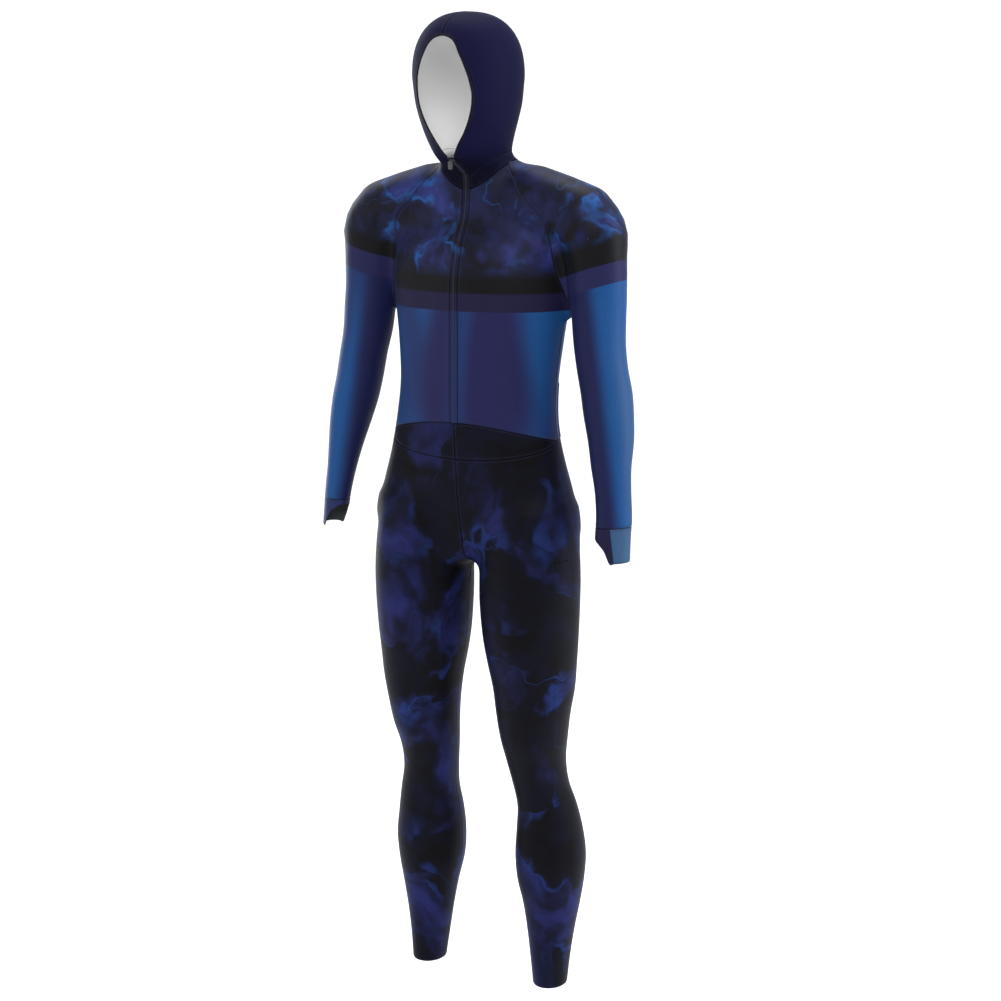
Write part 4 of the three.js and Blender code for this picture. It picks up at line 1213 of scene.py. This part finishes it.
# %% [markdown]
# The zip is two woven tapes with a nylon coil between them. The tape is a strip along the middle
# front, and each coil turn is a small rounded loop, set left and right in turn.

# %% Zip
HOOD_FOOT = HOOD_SEAM["height"] + 15
ZIP_TAPE_HALF = 6.94
TAPE_PROFILE = ((-ZIP_TAPE_HALF, -0.2), (-6.4, 0.0), (-4.2, 0.05), (-3.9, 0.3), (-2.2, 0.3), (0, 0.15),
                (2.2, 0.3), (3.9, 0.3), (4.2, 0.05), (6.4, 0.0), (ZIP_TAPE_HALF, -0.2))
TAPE_DEPTH = 1.2
COIL_PITCH, COIL_RADIUS, COIL_SIDES, COIL_LIFT = 1.7, 0.62, 6, 0.55
COIL_RINGS = ((-0.6, 0.25, 0.3), (-0.2, 1, 0), (1.7, 1, 0), (2.1, 0.3, 0.35))


def zip_line():
    lower = front_point(0, mix(waist[0, 2], neckline[0, 2], rows_up))
    neck = on_form(vec(0, HOOD_SEAM["y"], HOOD_SEAM["height"]),
                   vec(0, HOOD_SEAM["y"] - HOOD_SEAM["ahead"], HOOD_FOOT))
    start = hood_seam[0] * np.array([0, 1, 1])
    steps = np.linspace(0, 1, CHIN_ROWS + 1)[1:, None]
    chin = on_form(vec(0, -40, 1590), mix(start, opening_point(0, OPENING_FOOT), steps))
    points = np.concatenate([lower, neck[None], chin])
    points[0, 2] += SEAM_HALF
    points[-1] += unit(points[-2] - points[-1]) * 2 * SEAM_HALF
    return points


zip_path = zip_line()
zip_fine = spline(zip_path, np.linspace(0, len(zip_path) - 1, 260))
zip_normal = unit(form_normal(zip_fine) * np.array([0, 1, 1]))
zip_run = np.concatenate([[0], np.cumsum(steps_of(zip_fine))])
print("zip length", round(zip_run[-1]), "mm")


def along_zip(run, values):
    return np.array([np.interp(run, zip_run, values[:, k]) for k in range(3)])


def make_tape():
    across, lift = np.array(TAPE_PROFILE).T
    aside = across[None, :, None] * np.array([1.0, 0, 0])
    top = zip_fine[:, None] + zip_normal[:, None] * lift[None, :, None] + aside
    under = zip_fine[:, None] - zip_normal[:, None] * TAPE_DEPTH + aside
    return build_wall("zip_tape_cloth", top, under, edge_maps(top, (0, 0, 1, 1)), len(top), False)


def make_coil():
    """Every coil turn is a short bar with round ends, leaning across the zip."""
    bars = int((zip_run[-1] - 10) // COIL_PITCH)
    points, faces = [], []
    turns = np.arange(COIL_SIDES)
    for i in range(bars):
        run = 1.5 + i * COIL_PITCH
        place, out = along_zip(run, zip_fine), unit(along_zip(run, zip_normal))
        up = unit(along_zip(run + 1, zip_fine) - place)
        side = 1 if i % 2 else -1
        base = len(points)
        for x, reach, sink in COIL_RINGS:
            middle = place + np.array([x * side, 0, 0]) + out * (COIL_LIFT - sink)
            for angle in 2 * pi * turns / COIL_SIDES:
                ring = up * cos(angle) + out * sin(angle)
                points.append(middle + ring * COIL_RADIUS * reach)
        bar = [base + turns[::-1]]
        for ring in range(len(COIL_RINGS) - 1):
            a = base + ring * COIL_SIDES + turns
            b = np.roll(a, -1)
            bar += list(np.stack([a, b, b + COIL_SIDES, a + COIL_SIDES], -1))
        bar.append(base + (len(COIL_RINGS) - 1) * COIL_SIDES + turns)
        faces += [face.tolist()[::side] for face in bar]
    mesh = smooth_mesh("zip_coil", (np.array(points) - [0, 0, ORIGIN_HEIGHT]) * MM, faces)
    print("coil turns", bars)
    return add_object("zip_coil", mesh)


def plain_material(name, colour, roughness, metallic=0.0, grain=60.0):
    material, tree, shader = new_material(name, {"Metallic": metallic})
    speck = noise(tree, whole_place(tree), grain, 4.0)
    worn = (*[part * 0.6 for part in colour[:3]], 1.0)
    feed(tree, shader["Base Color"], mix_colour(tree, speck, colour, worn))
    feed(tree, shader["Roughness"], calc(tree, "MULTIPLY_ADD", speck, 0.2, roughness - 0.1))
    add_bump(tree, shader, speck, 0.15, 0.0002)
    return material


tape_size = 2 * ZIP_TAPE_HALF * MM, zip_run[-1] * MM
dress("zip_tape_cloth", "zip", make_tape(), "tape", "tape", "zip_tape", flat=tape_size)
coil = make_coil()
coil.data.materials.append(plain_material("nylon coil", srgb(12, 18, 42), 0.6, grain=900.0))
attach(coil, SUIT)

# %% [markdown]
# The slider is a small painted casting: a domed plate with a bridge over it. The pull tab hangs
# from the bridge, and it is the one hard piece that moves, so it rides on its own body.

# %% Slider and pull tab
METAL = plain_material("painted zip metal", srgb(46, 51, 48), 0.42, 0.2, grain=1400.0)


def rounded_plate(name, width, length, thick, *, waist_in=0.0, hole=None, bevel=0.5):
    """A plate in its own plane: x across, y along, z through, with a soft edge."""
    outline = []
    corner = width * 0.32
    for cx, cy, start in ((1, -1, -90), (1, 1, 0), (-1, 1, 90), (-1, -1, 180)):
        for angle in np.radians(start + 15 * np.arange(7)):
            x = cx * (width / 2 - corner) + corner * cos(angle)
            y = cy * (length / 2 - corner) + corner * sin(angle)
            outline.append((x * (1 - waist_in * cos(pi * y / length)), y))
    curve = bpy.data.curves.new(name, "CURVE")
    curve.dimensions = "2D"
    curve.fill_mode = "BOTH"
    curve.extrude = thick / 2 - bevel * 0.5
    curve.bevel_depth = bevel * 0.5
    curve.bevel_resolution = 2
    for ring in [outline] + ([hole] if hole else []):
        line = curve.splines.new("POLY")
        line.points.add(len(ring) - 1)
        for point, (x, y) in zip(line.points, ring):
            point.co = (x, y, 0, 1)
        line.use_cyclic_u = True
    holder = add_object(name, curve)
    mesh = bpy.data.meshes.new_from_object(holder)
    bpy.data.objects.remove(holder)
    return mesh


def place_mesh(mesh, right, up, out, place):
    turn = Matrix((right, up, out)).transposed().to_4x4()
    lowered = Vector((place[0], place[1], place[2] - ORIGIN_HEIGHT))
    mesh.transform(Matrix.Scale(MM, 4) @ Matrix.Translation(lowered) @ turn)


def finish_metal(name, meshes, node, body):
    joined = bmesh.new()
    for mesh in meshes:
        joined.from_mesh(mesh)
    bmesh.ops.remove_doubles(joined, verts=joined.verts, dist=1e-6)
    bmesh.ops.recalc_face_normals(joined, faces=joined.faces)
    data = bpy.data.meshes.new(name)
    joined.to_mesh(data)
    joined.free()
    data.polygons.foreach_set("use_smooth", np.ones(len(data.polygons), bool))
    data.materials.append(METAL)
    piece = add_object(name, data)
    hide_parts(node)
    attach(piece, body)
    edges = piece.modifiers.new("smooth edges", "EDGE_SPLIT")
    edges.split_angle = radians(50)
    print(name, "faces", len(data.polygons))


def make_slider():
    foot = zip_path[-1]
    up = Vector(unit(foot - zip_path[-2]))
    out = Vector(unit(form_normal(foot) * np.array([0, 1, 1])))
    right = up.cross(out)
    base = Vector(foot) - up * 5.0 + out * 1.25
    plate = rounded_plate("slider_plate", 9.0, 9.0, 1.8, waist_in=-0.06)
    place_mesh(plate, right, up, out, base + out * 0.9)
    bridge = rounded_plate("slider_bridge", 2.6, 7.0, 1.2, bevel=0.4)
    place_mesh(bridge, right, up, out, base + out * 2.5 + up * 0.4)
    finish_metal("slider_metal", [plate, bridge], "zip_slider", SUIT)


def make_pull():
    low, high = (np.array(corner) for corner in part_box("zip_pull"))
    place = (low + high) / 2 / MM + [0, 0, ORIGIN_HEIGHT]
    length = (high - low)[2] / MM
    turns = np.linspace(0, 2 * pi, 17)[:-1]
    hole = [(1.1 * cos(t), length / 2 - 3.0 + 1.1 * sin(t)) for t in turns]
    tab = rounded_plate("pull_tab", 8.0, length, 1.5, waist_in=0.08, hole=hole)
    place_mesh(tab, Vector((1, 0, 0)), Vector((0, 0, 1)), Vector((0, -1, 0)), place)
    finish_metal("pull_metal", [tab], "zip_pull", "pull")


make_slider()
make_pull()

# %% [markdown]
# The studio is plain: a pale floor that curves up behind, one large soft light high in front, and
# two tall strips at the sides and behind, which draw the bright edges along sleeves and legs.

# %% Studio
FLOOR = -ORIGIN_HEIGHT * MM
HALF_WIDTH, FRONT_END, CURVE_START, CURVE_RADIUS, WALL_TOP = 9.0, -6.0, 3.0, 1.5, 6.0
COOL = (0.9, 0.95, 1)
LIGHTS = (
    ("key", (1.6, -3.2, 2.2), (0, 0, -0.3), (2.4, 2.4), 130, (1, 1, 1)),
    ("front fill", (-2.6, -2.6, 0.6), (0, 0, -0.5), (2.0, 3.0), 50, (1, 1, 1)),
    ("left edge", (-2.2, 1.0, 0.3), (0, 0, -0.4), (0.7, 3.2), 40, COOL),
    ("right edge", (2.4, 0.9, 0.4), (0, 0, -0.3), (0.8, 3.2), 90, COOL),
    ("top", (0, 0.8, 2.4), (0, 0, 0), (2.2, 1.2), 70, (1, 1, 1)),
)


def make_studio():
    profile = [(FRONT_END, 0.0), (CURVE_START, 0.0)]
    for t in np.linspace(0.1, pi / 2, 12):
        profile.append((CURVE_START + CURVE_RADIUS * sin(t), CURVE_RADIUS * (1 - cos(t))))
    profile.append((CURVE_START + CURVE_RADIUS, WALL_TOP))
    turn = Matrix.Rotation(CAMERA_TURN, 3, "Z")
    points = [turn @ Vector((x, y, z + FLOOR)) for x in (-HALF_WIDTH, HALF_WIDTH) for y, z in profile]
    count = len(profile)
    faces = [(i, i + 1, i + 1 + count, i + count) for i in range(count - 1)]
    floor = add_object("floor", smooth_mesh("floor", points, faces))
    look = {"Base Color": (0.9, 0.9, 0.91, 1), "Roughness": 0.85}
    floor.data.materials.append(new_material("pale studio floor", look)[0])


def area_light(name, place, aim, size, power, tint):
    data = bpy.data.lights.new(name, "AREA")
    data.shape = "RECTANGLE"
    data.size, data.size_y = size
    data.energy = power
    data.color = tint
    light = add_object(name, data)
    light.location = place
    light.rotation_euler = (Vector(aim) - Vector(place)).to_track_quat("-Z", "Y").to_euler()


make_studio()
for light in LIGHTS:
    area_light(*light)
world = bpy.data.worlds.new("pale studio")
world.use_nodes = True
world.node_tree.nodes["Background"].inputs["Color"].default_value = (1, 1, 1, 1)
world.node_tree.nodes["Background"].inputs["Strength"].default_value = 0.75
bpy.context.scene.world = world
bpy.context.scene.view_settings.view_transform = "Standard"
print("lights", len(LIGHTS))
